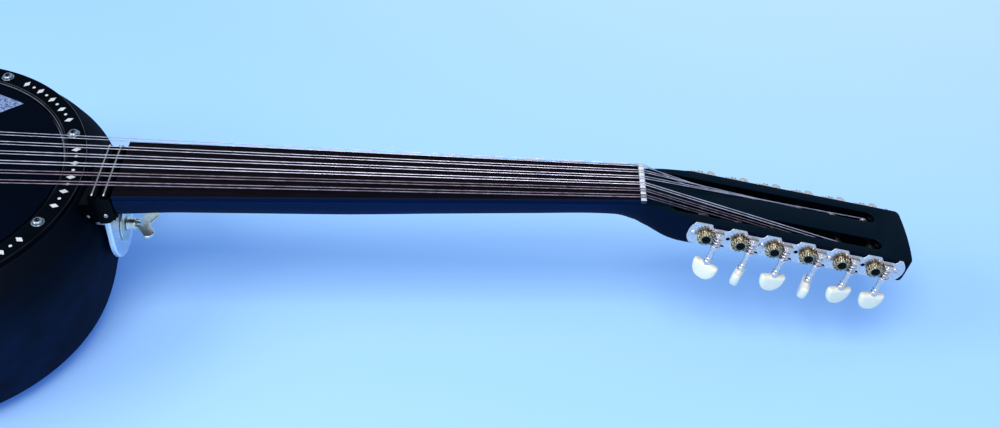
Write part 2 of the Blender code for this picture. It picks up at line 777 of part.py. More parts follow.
def make_tailpiece():
    """The tailpiece: a plate hooked over the ring with twelve notches, bent down the bowl's side."""
    half = TAIL_WIDTH / 2
    outside = -(BOWL_RADIUS + BOWL_WALL / 2 + SEAT)
    top = PLATE_TOP + TAIL_TOP
    front = outside + TAIL_REACH
    bend = 5 * MM
    outline = [(front, top - TAIL_PLATE), (front, top)]
    outline += [(x, z) for x, z in arc((outside + bend - TAIL_PLATE, top - bend), bend, 90, 180, 4)]
    outline += [(outside - TAIL_PLATE, top - TAIL_DROP), (outside, top - TAIL_DROP)]
    outline += [(x, z) for x, z in arc((outside + bend - TAIL_PLATE, top - bend), bend - TAIL_PLATE, 180, 90, 3)]
    form = extruded(outline, -half, half, "Y")
    notches = []
    for y in string_places(COURSE_GAP_AT_TAIL, PAIR_GAP_AT_TAIL):
        near = (front - TAIL_NOTCH_DEPTH, y - TAIL_NOTCH / 2, top - 2 * TAIL_PLATE)
        notches.append(box(near, (front + 2 * MM, y + TAIL_NOTCH / 2, top + 2 * MM)))
    reach = 2.5 * TAIL_PLATE
    notches.append(rod((outside - reach, 0, tail_bolt_z()), 2 * reach, TAIL_BOLT_RADIUS + SEAT, "X", PIN_SIDES))
    for side in (-1, 1):
        wedge = [
            (side * half * 1.01, top - TAIL_DROP - 1 * MM),
            (side * half * 1.01, top - TAIL_DROP + 2 * TAIL_CORNER),
            (side * (half - TAIL_CORNER * 1.4), top - TAIL_DROP - 1 * MM),
        ]
        notches.append(extruded(wedge, outside - 8 * MM, outside + 4 * MM, "X"))
    place_mesh("tailpiece", to_mesh("tailpiece", cut(form, *notches)), NICKEL)
    start = outside - TAIL_PLATE - SEAT
    grip = TAIL_PLATE + BOWL_WALL + BOWL_BOW + 3 * SEAT
    bolt = [
        (0.0, -3 * MM),
        (TAIL_BOLT_HEAD * 0.8, -2.4 * MM),
        (TAIL_BOLT_HEAD, 0.0),
        (TAIL_BOLT_RADIUS, 0.0),
        (TAIL_BOLT_RADIUS, grip),
        (TAIL_BOLT_HEAD, grip),
        (TAIL_BOLT_HEAD, grip + TAIL_NUT_HEIGHT),
        (0.0, grip + TAIL_NUT_HEIGHT),
    ]
    form = turned(bolt, PIN_SIDES, "X")
    bmesh.ops.translate(form, vec=(start, 0, tail_bolt_z()), verts=form.verts)
    place_mesh("tail_bolt", to_mesh("tail_bolt", form), NICKEL)


def ridge_outline(left, low):
    """A ridge's side view with a half-round top, in X and Z."""
    radius = RIDGE_THICKNESS / 2
    centre = (left + radius, PLATE_TOP + RIDGE_HEIGHT - radius)
    return [(left, low)] + arc(centre, radius, 180, 0, 6) + [(left + RIDGE_THICKNESS, low)]


def neck_ridge_left():
    """The back of the ridge that belongs to the neck."""
    return HINGE_X + RIDGE_AHEAD_OF_HINGE - RIDGE_THICKNESS / 2


def body_ridge_left():
    """The back of the ridge that belongs to the bowl."""
    return neck_ridge_left() - RIDGE_GAP - RIDGE_THICKNESS


def hinge_bore():
    """The hinge pin's hole through both castings."""
    reach = BRACKET_HALF_WIDTH + 2 * MM
    return rod((HINGE_X, -reach, HINGE_Z), 2 * reach, HINGE_PIN_RADIUS + HINGE_PIN_PLAY, "Y", PIN_SIDES)


def make_body_bracket():
    """The black casting on the bowl: a ridge across, a saddle on the shoulder and two cheeks."""
    left = body_ridge_left()
    low = PLATE_TOP - BRACKET_DROP
    half = BRACKET_HALF_WIDTH
    ridge = extruded(ridge_outline(left, low), -RIDGE_HALF_LENGTH, RIDGE_HALF_LENGTH, "Y")
    saddle_low = (left - SADDLE_REACH, -half + 1.5 * MM, low + 1 * MM)
    saddle = box(saddle_low, (left + 1 * MM, half - 1.5 * MM, PLATE_TOP - 1.2 * MM))
    cheek_left = left + RIDGE_THICKNESS - 2 * MM
    top = PLATE_TOP + RIDGE_HEIGHT - RIDGE_OVER_CHEEK
    rounding = CHEEK_CORNER * 0.45
    cheek = [(cheek_left, low)] + arc((CHEEK_END - CHEEK_CORNER, low + CHEEK_CORNER), CHEEK_CORNER, -90, 0, 4)
    cheek += arc((CHEEK_END - rounding, top - rounding), rounding, 0, 90, 2) + [(cheek_left, top)]
    cheeks = [
        extruded(cheek, -half, -half + CHEEK_THICKNESS, "Y"),
        extruded(cheek, half - CHEEK_THICKNESS, half, "Y"),
    ]
    ring_low = PLATE_TOP - PLATE_THICKNESS - SEAT
    ring_room = rod((0, 0, ring_low), 2 * BRACKET_DROP, PLATE_RADIUS + SEAT, sides=TURN_STEPS)
    form = cut(join(ridge, saddle, *cheeks), hinge_bore(), bowl_outside(SEAT), ring_room)
    place_mesh("body_bracket", to_mesh("body_bracket", form), BLACK_PAINT)


def make_neck_shoe():
    """The black casting on the neck's end, whose ridge rests across both cheeks."""
    half = BRACKET_HALF_WIDTH - CHEEK_THICKNESS - SEAT
    low = PLATE_TOP - BRACKET_DROP - SEAT
    over = PLATE_TOP + RIDGE_HEIGHT - RIDGE_OVER_CHEEK + 2 * SEAT
    left = neck_ridge_left()
    ridge = extruded(ridge_outline(left, low), -RIDGE_HALF_LENGTH, RIDGE_HALF_LENGTH, "Y")
    room = RIDGE_HALF_LENGTH + 1 * MM
    near_room = box((left - 1 * MM, -room, low - 1 * MM), (NECK_START, -half, over))
    far_room = box((left - 1 * MM, half, low - 1 * MM), (NECK_START, room, over))
    step = TONGUE_BACK + TONGUE_THICKNESS + SEAT
    foot_low = PLATE_TOP - SHOE_FOOT_DEPTH
    foot = box((step, -half, foot_low), (NECK_START - SEAT, half, PLATE_TOP + 1.6 * MM))
    form = cut(join(ridge, foot), near_room, far_room, hinge_bore())
    place_mesh("neck_shoe", to_mesh("neck_shoe", form), BLACK_PAINT, NECK_BODY, from_hinge())


def from_hinge():
    """The shift that puts a form made in world places under the hinge's empty."""
    return Matrix.Translation((-HINGE_X, 0, -HINGE_Z))


def make_hinge_pin():
    """The pin through both castings."""
    reach = BRACKET_HALF_WIDTH + 0.9 * MM
    form = rod((HINGE_X, -reach, HINGE_Z), 2 * reach, HINGE_PIN_RADIUS, "Y", PIN_SIDES)
    place_mesh("hinge_pin", to_mesh("hinge_pin", form), STEEL)


def tongue_outline(inset):
    """The tongue's front view, straight above and round below, in Y and Z."""
    half = TONGUE_HALF_WIDTH - inset
    top = PLATE_TOP - BRACKET_DROP - 4 * SEAT
    return [(half, top)] + arc((0.0, STUD_Z + TONGUE_ROUND_ABOVE_STUD), half, 0, -180, 14) + [(-half, top)]


def make_tongue():
    """The bright clamp tongue under the neck's end: round below, with a lip bent back above."""
    top = PLATE_TOP - BRACKET_DROP - 4 * SEAT
    half = TONGUE_HALF_WIDTH
    front = TONGUE_BACK + TONGUE_THICKNESS
    edge = TONGUE_THICKNESS * 0.3
    depths = ((TONGUE_BACK, 0.0), (front - edge, 0.0), (front, edge))
    plate = lofted([[(x, y, z) for y, z in tongue_outline(inset)] for x, inset in depths])
    lip = box((TONGUE_BACK - TONGUE_LIP, -half + SEAT, top - TONGUE_LIP_HEIGHT), (TONGUE_BACK + SEAT, half - SEAT, top))
    bore = STUD_RADIUS + STUD_SLOT_PLAY
    hole = rod((TONGUE_BACK - TONGUE_THICKNESS, 0, STUD_Z), 3 * TONGUE_THICKNESS, bore, "X", 12)
    form = cut(join(plate, lip), hole, bowl_outside(SEAT + TONGUE_PLAY))
    place_mesh("clamp_tongue", to_mesh("clamp_tongue", form), ALUMINIUM, NECK_BODY, from_hinge())


def make_clamp():
    """The stud through the bowl, the broad washer and the wing nut."""
    wall = BOWL_RADIUS - BOWL_WALL / 2 - SEAT - BOWL_BOW
    head = wall - STUD_HEAD_LENGTH
    stud = [
        (0.0, STUD_END),
        (STUD_RADIUS - 0.6 * MM, STUD_END),
        (STUD_RADIUS, STUD_END - 0.6 * MM),
        (STUD_RADIUS, wall),
        (STUD_HEAD_RADIUS, wall),
        (STUD_HEAD_RADIUS, head),
        (0.0, head),
    ]
    form = turned(stud, 12, "X")
    bmesh.ops.translate(form, vec=(0, 0, STUD_Z), verts=form.verts)
    place_mesh("clamp_stud", to_mesh("clamp_stud", form), ZINC)
    bore = STUD_RADIUS + STUD_SLOT_PLAY
    start = TONGUE_BACK + TONGUE_THICKNESS + SEAT
    end = start + WASHER_THICKNESS
    washer = [
        (bore, start),
        (bore, end),
        (WASHER_RADIUS - 0.5 * MM, end),
        (WASHER_RADIUS, end - 0.5 * MM),
        (WASHER_RADIUS, start),
    ]
    form = turned(washer, 18, "X")
    bmesh.ops.translate(form, vec=(0, 0, STUD_Z), verts=form.verts)
    place_mesh("clamp_washer", to_mesh("clamp_washer", form), ZINC, NECK_BODY, from_hinge())
    hub_start = end + SEAT
    make_wing_nut(hub_start, bore)


def make_wing_nut(start, bore):
    """The wing nut: a waisted hub with a bore and two wings that lean forward."""
    origin = Matrix.Translation((start - HINGE_X, 0, STUD_Z - HINGE_Z))
    carrier = empty("wing_nut_axis", NECK_BODY, origin)
    hub = turned(
        [
            (0.0, WING_HUB_LENGTH),
            (WING_HUB_RADIUS * 0.86, WING_HUB_LENGTH),
            (WING_HUB_RADIUS * 0.86, WING_HUB_LENGTH * 0.3),
            (WING_HUB_RADIUS, 0.0),
            (0.0, 0.0),
        ],
        12,
        "X",
    )
    half = WING_SPAN / 2
    upper = [
        (WING_HUB_LENGTH * 0.47, WING_HUB_RADIUS * 0.7),
        (WING_REACH * 0.4, WING_HUB_RADIUS * 0.92),
        (WING_REACH * 0.665, half * 0.93),
        (WING_REACH * 0.714, half),
        (WING_REACH * 0.87, half * 0.97),
        (WING_REACH * 0.986, half * 0.73),
        (WING_REACH, half * 0.61),
        (WING_REACH * 0.775, half * 0.055),
    ]
    outline = upper + [(x, -y) for x, y in reversed(upper)]
    wings = extruded(outline, -WING_THICKNESS / 2, WING_THICKNESS / 2)
    drill = rod((-2 * MM, 0, 0), WING_BORE_DEPTH + 2 * MM, bore, "X", 12)
    form = cut(join(hub, wings), drill)
    place_mesh("wing_nut", to_mesh("wing_nut", form), ZINC, carrier)


def neck_section(frame, half, depth, square, top):
    """One section of the neck: flat on top, with a back that runs from round to square."""
    steps = 10
    points = [(half, top)]
    for k in range(1, steps):
        angle = math.pi * k / steps
        power = 2 / square
        y = half * math.copysign(abs(math.cos(angle)) ** power, math.cos(angle))
        z = top - depth * math.sin(angle) ** power
        points.append((y, z))
    points.append((-half, top))
    return [tuple(frame @ Vector((0, y, z))) for y, z in points]


def neck_back_depth(share):
    """The back's depth along the neck, from its heel to just before the nut."""
    if share < 0.12:
        blend = share / 0.12
        return NECK_DEPTH_HEEL + (NECK_DEPTH_LOW - NECK_DEPTH_HEEL) * blend
    if share < 0.4:
        return NECK_DEPTH_LOW
    blend = (share - 0.4) / 0.6
    return NECK_DEPTH_LOW + (NECK_DEPTH_HIGH - NECK_DEPTH_LOW) * blend


def make_neck():
    """Neck and slotted head in one piece of wood, lofted, with its slots and roller bores cut out."""
    sections = []
    for share in (0.0, 0.12, 0.4, 0.62, 0.8, 0.9):
        x = NECK_START + (NUT_X - NECK_START) * share
        top = board_top(x) - BOARD_THICKNESS - SEAT
        frame = Matrix.Translation((x, 0, top))
        sections.append(neck_section(frame, neck_half_width(x), neck_back_depth(share), 2.0, 0.0))
    bend = [
        (-VOLUTE_START, 0.1, NECK_DEPTH_HIGH * 1.13, 0.0, 2.0),
        (-VOLUTE_START * 0.3, 0.35, VOLUTE_DEPTH * 0.9, 0.03, 2.2),
        (HEAD_FLARE * 0.12, 0.65, VOLUTE_DEPTH, 0.16, 2.7),
        (HEAD_FLARE * 0.36, 0.9, VOLUTE_DEPTH * 0.92, 0.48, 4.0),
        (HEAD_FLARE * 0.61, 1.0, HEAD_THICKNESS * 1.22, 0.7, 6.5),
        (HEAD_FLARE * 0.83, 1.0, HEAD_THICKNESS * 1.15, 0.86, 8.0),
        (HEAD_FLARE, 1.0, HEAD_THICKNESS * 1.08, 1.0, 8.0),
        (HEAD_EVEN, 1.0, HEAD_THICKNESS, 1.0, 8.0),
    ]
    for along, turn, depth, flare, square in bend:
        narrow = NUT_HALF_WIDTH
        point = head_frame() @ Vector((max(along, 0.0), 0, 0))
        if along < 0:
            x = HEAD_X + along
            narrow = neck_half_width(x)
            point = Vector((x, 0, board_top(x) - BOARD_THICKNESS - SEAT))
        half = narrow + (HEAD_HALF_WIDTH - narrow) * flare
        frame = Matrix.Translation(point) @ Matrix.Rotation(HEAD_TILT * turn, 4, "Y")
        sections.append(neck_section(frame, half, depth, square, 0.0))
    for back, inset in ((HEAD_CORNER, 0.0), (HEAD_CORNER * 0.45, 0.14), (HEAD_CORNER * 0.12, 0.45), (0.0, 0.85)):
        point = head_frame() @ Vector((HEAD_LENGTH - back, 0, 0))
        frame = Matrix.Translation(point) @ Matrix.Rotation(HEAD_TILT, 4, "Y")
        sections.append(neck_section(frame, HEAD_HALF_WIDTH - HEAD_CORNER * inset, HEAD_THICKNESS, 8.0, 0.0))
    form = lofted(sections)
    cutters = []
    deep = HEAD_THICKNESS + 14 * MM
    end = slot_end()
    radius = SLOT_WIDTH / 2
    for side in (-1, 1):
        y = side * SLOT_CENTRE
        outline = arc((SLOT_START + radius, y), radius, 90, 270, 4) + arc((end - radius, y), radius, -90, 90, 4)
        slot = extruded(outline, -deep, 6 * MM)
        bmesh.ops.transform(slot, matrix=head_frame(), verts=slot.verts)
        cutters.append(slot)
    for place in tuner_places():
        for side in (-1, 1):
            cutters.append(roller_bore(place, side))
    form = cut(form, *cutters)
    place_mesh("neck", to_mesh("neck", form), NAVY_LACQUER, NECK_BODY, from_hinge())


def slot_end():
    """The slots end a little past the last roller."""
    return tuner_places()[-1] + SLOT_END_MARGIN


def tuner_places():
    """The rollers' places along the head."""
    return [TUNER_FIRST + TUNER_PITCH * k for k in range(TUNERS_A_SIDE)]


def roller_bore(place, side):
    """The bore for one roller, through the head's side and the slot, and blind in the middle web."""
    floor = SLOT_CENTRE - SLOT_WIDTH / 2 - ROLLER_JOURNAL_LENGTH - ROLLER_CLEARANCE
    reach = HEAD_HALF_WIDTH + 4 * MM - floor
    form = rod((0, floor, 0), reach, ROLLER_RADIUS + ROLLER_CLEARANCE, "Y", POST_SIDES)
    turn = Matrix.Rotation(0 if side > 0 else math.pi, 4, "Z")
    place_matrix = head_frame() @ Matrix.Translation((place, 0, -TUNER_DEPTH)) @ turn
    bmesh.ops.transform(form, matrix=place_matrix, verts=form.verts)
    return form


def make_fingerboard():
    """The smooth fingerboard, without frets, with a slightly rounded top."""
    sections = []
    for x in (NECK_START, NUT_X - SEAT):
        half = neck_half_width(x)
        top = board_top(x)
        low = top - BOARD_THICKNESS
        crown = 0.5 * MM
        points = [(-half, low), (-half, top - crown - 0.4 * MM), (-half + 0.8 * MM, top - crown)]
        points += [(-half / 2, top - crown / 4), (0.0, top), (half / 2, top - crown / 4)]
        points += [(half - 0.8 * MM, top - crown), (half, top - crown - 0.4 * MM), (half, low)]
        sections.append([(x, y, z) for y, z in points])
    place_mesh("fingerboard", to_mesh("fingerboard", lofted(sections)), EBONY, NECK_BODY, from_hinge())


def make_nut():
    """The white nut between fingerboard and head."""
    half = NUT_HALF_WIDTH
    low = board_top(NUT_X) - BOARD_THICKNESS
    top = PLATE_TOP + NUT_TOP_ABOVE_PLATE
    end = NUT_X + NUT_LENGTH - SEAT
    outline = [(NUT_X, low), (NUT_X, top - NUT_BEVEL / 2), (NUT_X + NUT_BEVEL / 2, top)]
    outline += [(end - NUT_BEVEL, top), (end, top - NUT_BEVEL), (end, low)]
    place_mesh("nut", to_mesh("nut", extruded(outline, -half, half, "Y")), BONE, NECK_BODY, from_hinge())


def wheel_outline():
    """The wheel's teeth as radius and angle pairs: flat tips over pointed roots, a tip at angle zero."""
    tip = WHEEL_PITCH_RADIUS + TOOTH_RISE
    root = WHEEL_PITCH_RADIUS - TOOTH_RISE - TIP_PLAY
    half_tip = (THREAD_PITCH / 4 - TOOTH_PLAY / 2) * (1 - TOOTH_TAPER) / WHEEL_PITCH_RADIUS
    result = []
    for k in range(WHEEL_TEETH):
        middle = 2 * math.pi * k / WHEEL_TEETH
        result.append((tip, middle - half_tip))
        result.append((tip, middle + half_tip))
        result.append((root, middle + math.pi / WHEEL_TEETH))
    return result


def roller_mesh():
    """A roller: toothed wheel, collar and screw outside, and the string's post through the head's side.

    Its axis is Y with the wheel's middle at the origin and the post towards -Y. The teeth lean by the
    worm's lead.
    """
    lean = math.tan(thread_lead()) / WHEEL_PITCH_RADIUS
    sections = []
    for y in (-WHEEL_WIDTH / 2, WHEEL_WIDTH / 2):
        places = [(radius, angle - y * lean) for radius, angle in wheel_outline()]
        sections.append([(radius * math.cos(a), y, radius * math.sin(a)) for radius, a in places])
    post_end = SLOT_CENTRE - SLOT_WIDTH / 2 - ROLLER_JOURNAL_LENGTH - WHEEL_MIDDLE
    screw_top = WHEEL_WIDTH / 2 + WHEEL_SCREW_HEIGHT
    profile = [
        (0.0, screw_top),
        (WHEEL_SCREW_RADIUS * 0.75, screw_top),
        (WHEEL_SCREW_RADIUS, WHEEL_WIDTH / 4),
        (ROLLER_RADIUS, -WHEEL_WIDTH / 4),
        (ROLLER_RADIUS, post_end),
        (0.0, post_end),
    ]
    return to_mesh("roller", join(lofted(sections), turned(profile, POST_SIDES, "Y")))


def thread_lead():
    """The worm thread's lead angle."""
    return math.atan(THREAD_PITCH / (2 * math.pi * WORM_PITCH_RADIUS))


def worm_form():
    """The worm: a right-hand thread drawn as lines that climb round its core, with a crest at angle zero.

    A line's points past either end are drawn in to the core at that end, so both ends are round and flat.
    """
    crest = WORM_PITCH_RADIUS + TOOTH_RISE
    core = WORM_PITCH_RADIUS - TOOTH_RISE - TIP_PLAY
    half_foot = (THREAD_PITCH / 4 - TOOTH_PLAY / 2) * (1 + TOOTH_TAPER)
    lines = ((core, -half_foot), (crest, 0.0), (core, half_foot))
    half = WORM_LENGTH / 2
    turns = 2 * math.ceil(half / THREAD_PITCH + 1)
    form = bmesh.new()
    columns = []
    for step in range(turns * WORM_SIDES + 1):
        angle = 2 * math.pi * step / WORM_SIDES
        base = THREAD_PITCH * (step / WORM_SIDES - turns / 2)
        column = []
        for radius, shift in lines:
            height = base + shift
            reach = radius if abs(height) < half - SEAT else core
            level = max(-half, min(half, height))
            column.append(form.verts.new((reach * math.cos(angle), reach * math.sin(angle), level)))
        columns.append(column)
    for step, column in enumerate(columns[:-1]):
        following = columns[step + 1]
        form.faces.new((column[0], following[0], following[1], column[1]))
        form.faces.new((column[1], following[1], following[2], column[2]))
        upper = step + WORM_SIDES
        if upper + 1 < len(columns):
            form.faces.new((column[2], following[2], columns[upper + 1][0], columns[upper][0]))
    bmesh.ops.remove_doubles(form, verts=form.verts, dist=1e-6)
    bmesh.ops.dissolve_degenerate(form, edges=form.edges, dist=1e-6)
    flat = [face for face in form.faces if face.calc_area() < 1e-12]
    bmesh.ops.delete(form, geom=flat, context="FACES")
    bmesh.ops.delete(form, geom=[edge for edge in form.edges if not edge.link_faces], context="EDGES")
    bmesh.ops.delete(form, geom=[point for point in form.verts if not point.link_faces], context="VERTS")
    bmesh.ops.holes_fill(form, edges=form.edges, sides=0)
    return form


def button_form():
    """The pearl button: a straight upper edge, a round lower one and soft rims."""
    half = KEY_BUTTON_WIDTH / 2
    top = TUNER_DEPTH - KEY_BUTTON_DEPTH
    outline = [(half * 0.86, top)]
    steps = 7
    for k in range(1, steps):
        angle = math.pi * k / steps
        reach = half * math.copysign(abs(math.cos(angle)) ** 0.85, math.cos(angle))
        outline.append((reach, top - 1.4 * MM - (KEY_BUTTON_LENGTH - 1.4 * MM) * math.sin(angle) ** 0.9))
    outline.append((-half * 0.86, top))
    middle_z = top - KEY_BUTTON_LENGTH / 2
    sections = []
    for side, shrink in ((-1, 0.82), (-0.5, 1.0), (0.5, 1.0), (1, 0.82)):
        y = side * KEY_BUTTON_THICKNESS / 2
        sections.append([(x * shrink, y, middle_z + (z - middle_z) * shrink) for x, z in outline])
    return lofted(sections)


def key_mesh():
    """A key: upper journal, worm, shaft, ferrule and pearl button, with its axis on Z.

    The worm's middle is at the origin, and the button hangs towards -Z.
    """
    half = WORM_LENGTH / 2
    tip = half + SEAT + TAB_THICKNESS + 0.5 * MM
    button = TUNER_DEPTH - KEY_BUTTON_DEPTH
    profile = [
        (0.0, tip),
        (KEY_SHAFT_RADIUS - 0.3 * MM, tip),
        (KEY_SHAFT_RADIUS - 0.3 * MM, -half),
        (KEY_SHAFT_RADIUS, -half),
        (KEY_SHAFT_RADIUS, button + KEY_FERRULE_LENGTH),
        (KEY_FERRULE_RADIUS, button + KEY_FERRULE_LENGTH - 0.8 * MM),
        (KEY_FERRULE_RADIUS, button - 0.8 * MM),
        (0.0, button - 0.8 * MM),
    ]
    form = join(turned(profile, WORM_SIDES), worm_form(), button_form())
    return to_mesh("key", form)


def make_tuners():
    """Twelve keys and twelve rollers, meshed at rest with each key turned as it stands."""
    key = key_mesh()
    roller = roller_mesh()
    for side, name, turns in ((-1, "near", NEAR_KEY_TURNS), (1, "far", FAR_KEY_TURNS)):
        for number, place in enumerate(tuner_places()):
            key_turn = math.radians(turns[number])
            axis = Matrix.Translation((place + WORM_OFFSET, side * WHEEL_MIDDLE, -TUNER_DEPTH))
            place_mesh(f"key_{name}_{number + 1}", key, PEARL, HEAD, axis @ Matrix.Rotation(key_turn, 4, "Z"))
            axis = Matrix.Translation((place, side * WHEEL_MIDDLE, -TUNER_DEPTH))
            turn = Matrix.Rotation(key_turn / WHEEL_TEETH, 4, "Y")
            facing = Matrix.Rotation(0 if side > 0 else math.pi, 4, "Z")
            place_mesh(f"roller_{name}_{number + 1}", roller, BRASS, HEAD, axis @ turn @ facing)


def strip_outline():
    """The tuner strip's outline along the head: a step out at each wheel, dips between and drawn-in ends."""
    places = tuner_places()
    low = STRIP_HALF_HEIGHT
    high = low + STRIP_STEP
    slope = STRIP_STEP_SLOPE
    start = places[0] - STRIP_LOW_END
    end = places[-1] + STRIP_HIGH_END
    upper = [(start, low * 0.4), (start + slope * 0.3, low * 0.78), (start + slope * 2, high)]
    upper += [(places[0] + STRIP_STEP_AFTER, high), (places[0] + STRIP_STEP_AFTER + slope, low)]
    for place in places[1:]:
        upper += [(place - STRIP_STEP_BEFORE - slope, low), (place - STRIP_STEP_BEFORE, high)]
        upper += [(place + STRIP_STEP_AFTER, high), (place + STRIP_STEP_AFTER + slope, low)]
    upper += [(end - slope * 5, low), (end - slope * 4.2, high), (end - slope * 2.3, high)]
    upper += [(end - slope * 0.8, low * 0.9), (end, low * 0.4)]
    lower = [(along, -rise) for along, rise in reversed(upper)]
    return upper + lower


def make_strip(name, side):
    """A tuner strip: stepped plate, a pair of bent tabs for each worm, screws and their holes."""
    near, far = sorted((side * STRIP_INNER, side * STRIP_OUTER))
    plate = extruded(strip_outline(), near, far, "Y")
    tabs = []
    drills = []
    places = tuner_places()
    outer = side * (WHEEL_MIDDLE + TAB_REACH)
    for place in places:
        worm = place + WORM_OFFSET
        for level in (-1, 1):
            start = WORM_LENGTH / 2 + SEAT
            low, high = sorted((level * start, level * (start + TAB_THICKNESS)))
            left, right = sorted((side * (STRIP_OUTER - 0.4 * MM), outer))
            tabs.append(box((worm - TAB_HALF_WIDTH, left, low), (worm + TAB_BEYOND_WORM, right, high)))
        hole = KEY_SHAFT_RADIUS + TAB_HOLE_CLEARANCE
        drills.append(rod((worm, side * WHEEL_MIDDLE, -12 * MM), 24 * MM, hole, sides=6))
        bore = ROLLER_RADIUS + ROLLER_CLEARANCE
        drills.append(rod((place, near - 1 * MM, 0), STRIP_THICKNESS + 2 * MM, bore, "Y", POST_SIDES))
    for place in places[1::2]:
        hole_x = place - STRIP_HOLE_BEFORE
        drills.append(rod((hole_x, near - 1 * MM, 0), STRIP_THICKNESS + 2 * MM, STRIP_HOLE_RADIUS, "Y", 6))
    form = cut(join(plate, *tabs), *drills)
    place_mesh(name, to_mesh(name, form), NICKEL, HEAD, Matrix.Translation((0, 0, -TUNER_DEPTH)))


def string_places(course_gap, pair_gap):
    """The strings' places across, from the near side to the far side."""
    result = []
    for course in range(COURSES):
        middle = (course - (COURSES - 1) / 2) * course_gap
        result += [middle - pair_gap / 2, middle + pair_gap / 2]
    return result


def string_radius(number):
    """Strings thin out evenly from the near side to the far side."""
    course = number // 2
    share = course / (COURSES - 1)
    return THICK_STRING_RADIUS + (THIN_STRING_RADIUS - THICK_STRING_RADIUS) * share


def roller_for_string(number):
    """Outer strings go to the first rollers and middle strings to the last ones."""
    return number if number < COURSES else 2 * COURSES - 1 - number


def make_strings():
    """Twelve steel strings, from the tailpiece over bridge and nut to their rollers."""
    tail = string_places(COURSE_GAP_AT_TAIL, PAIR_GAP_AT_TAIL)
    bridge = string_places(COURSE_GAP_AT_BRIDGE, PAIR_GAP_AT_BRIDGE)
    nut = string_places(COURSE_GAP_AT_NUT, PAIR_GAP_AT_NUT)
    bridge_top = PLATE_TOP - SKIN_BELOW_PLATE + SEAT + BRIDGE_HEIGHT
    tail_front = -(BOWL_RADIUS + BOWL_WALL / 2 + SEAT) + TAIL_REACH
    nut_edge = NUT_X + NUT_LENGTH - SEAT - NUT_BEVEL
    for number in range(2 * COURSES):
        radius = string_radius(number)
        side = -1 if number < COURSES else 1
        roller = roller_for_string(number)
        place = tuner_places()[roller]
        share = roller / (TUNERS_A_SIDE - 1)
        across = side * (STRING_ON_FIRST_ROLLER + (STRING_ON_LAST_ROLLER - STRING_ON_FIRST_ROLLER) * share)
        rest = -TUNER_DEPTH + ROLLER_RADIUS + SEAT + radius
        end = head_frame() @ Vector((place, across, rest))
        lift = SEAT + radius
        points = [
            Vector((tail_front - TAIL_NOTCH_DEPTH + 2 * SEAT, tail[number], PLATE_TOP + TAIL_TOP - TAIL_PLATE / 2)),
            Vector((BRIDGE_X - BRIDGE_TOP_THICKNESS / 2, bridge[number], bridge_top + lift)),
            Vector((nut_edge, nut[number], PLATE_TOP + NUT_TOP_ABOVE_PLATE + lift)),
            end,
        ]
        curve = bpy.data.curves.new(f"string_{number + 1}", "CURVE")
        curve.dimensions = "3D"
        curve.bevel_depth = radius
        curve.bevel_resolution = 1
        curve.use_fill_caps = True
        line = curve.splines.new("POLY")
        line.points.add(len(points) - 1)
        for target, point in zip(line.points, points):
            target.co = (*point, 1.0)
        curve.materials.append(STEEL)
        PARTS.objects.link(bpy.data.objects.new(f"string_{number + 1}", curve))


clear_scene()
PARTS = new_collection("electric_cumbus")
CUTTERS = new_collection("cutters")
BLACK_PAINT = material("black_paint", (0.012, 0.012, 0.014), 0.42, 0.0)
BLACK_SKIN = material("black_drumhead", (0.008, 0.008, 0.012), 0.5, 0.0)
STEEL = material("steel", (0.55, 0.55, 0.56), 0.3, 1.0)
NICKEL = material("nickel", (0.68, 0.68, 0.70), 0.2, 1.0)
ZINC = material("zinc_plate", (0.62, 0.64, 0.66), 0.32, 1.0)
ALUMINIUM = material("polished_aluminium", (0.78, 0.79, 0.81), 0.2, 1.0)
BRASS = material("brass", (0.62, 0.44, 0.15), 0.3, 1.0)
PEARL = material("pearl_plastic", (0.86, 0.85, 0.80), 0.25, 0.0)
BONE = material("white_nut", (0.88, 0.88, 0.86), 0.4, 0.0)
EBONY = material("dark_fingerboard", (0.018, 0.013, 0.011), 0.45, 0.0)
NAVY_LACQUER = material("navy_lacquer", (0.006, 0.008, 0.028), 0.18, 0.0)
MAPLE = material("bridge_maple", (0.55, 0.36, 0.19), 0.5, 0.0)
RUBBER = material("lead_sheath", (0.02, 0.02, 0.02), 0.6, 0.0)
NECK_BODY = empty("neck_hinge", None, Matrix.Translation((HINGE_X, 0, HINGE_Z)))
HEAD = empty("head_face", NECK_BODY, from_hinge() @ head_frame())

make_bowl()
make_top_plate()
make_drumhead()
make_bridge()
make_pickup()
make_jack()
make_tailpiece()
make_body_bracket()
make_neck_shoe()
make_hinge_pin()
make_tongue()
make_clamp()
make_neck()
make_fingerboard()
make_nut()
make_tuners()
make_strip("tuner_plate_near", -1)
make_strip("tuner_plate_far", 1)
make_strings()
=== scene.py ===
import math

import bmesh
import bpy
import numpy as np
from mathutils import Matrix, Vector


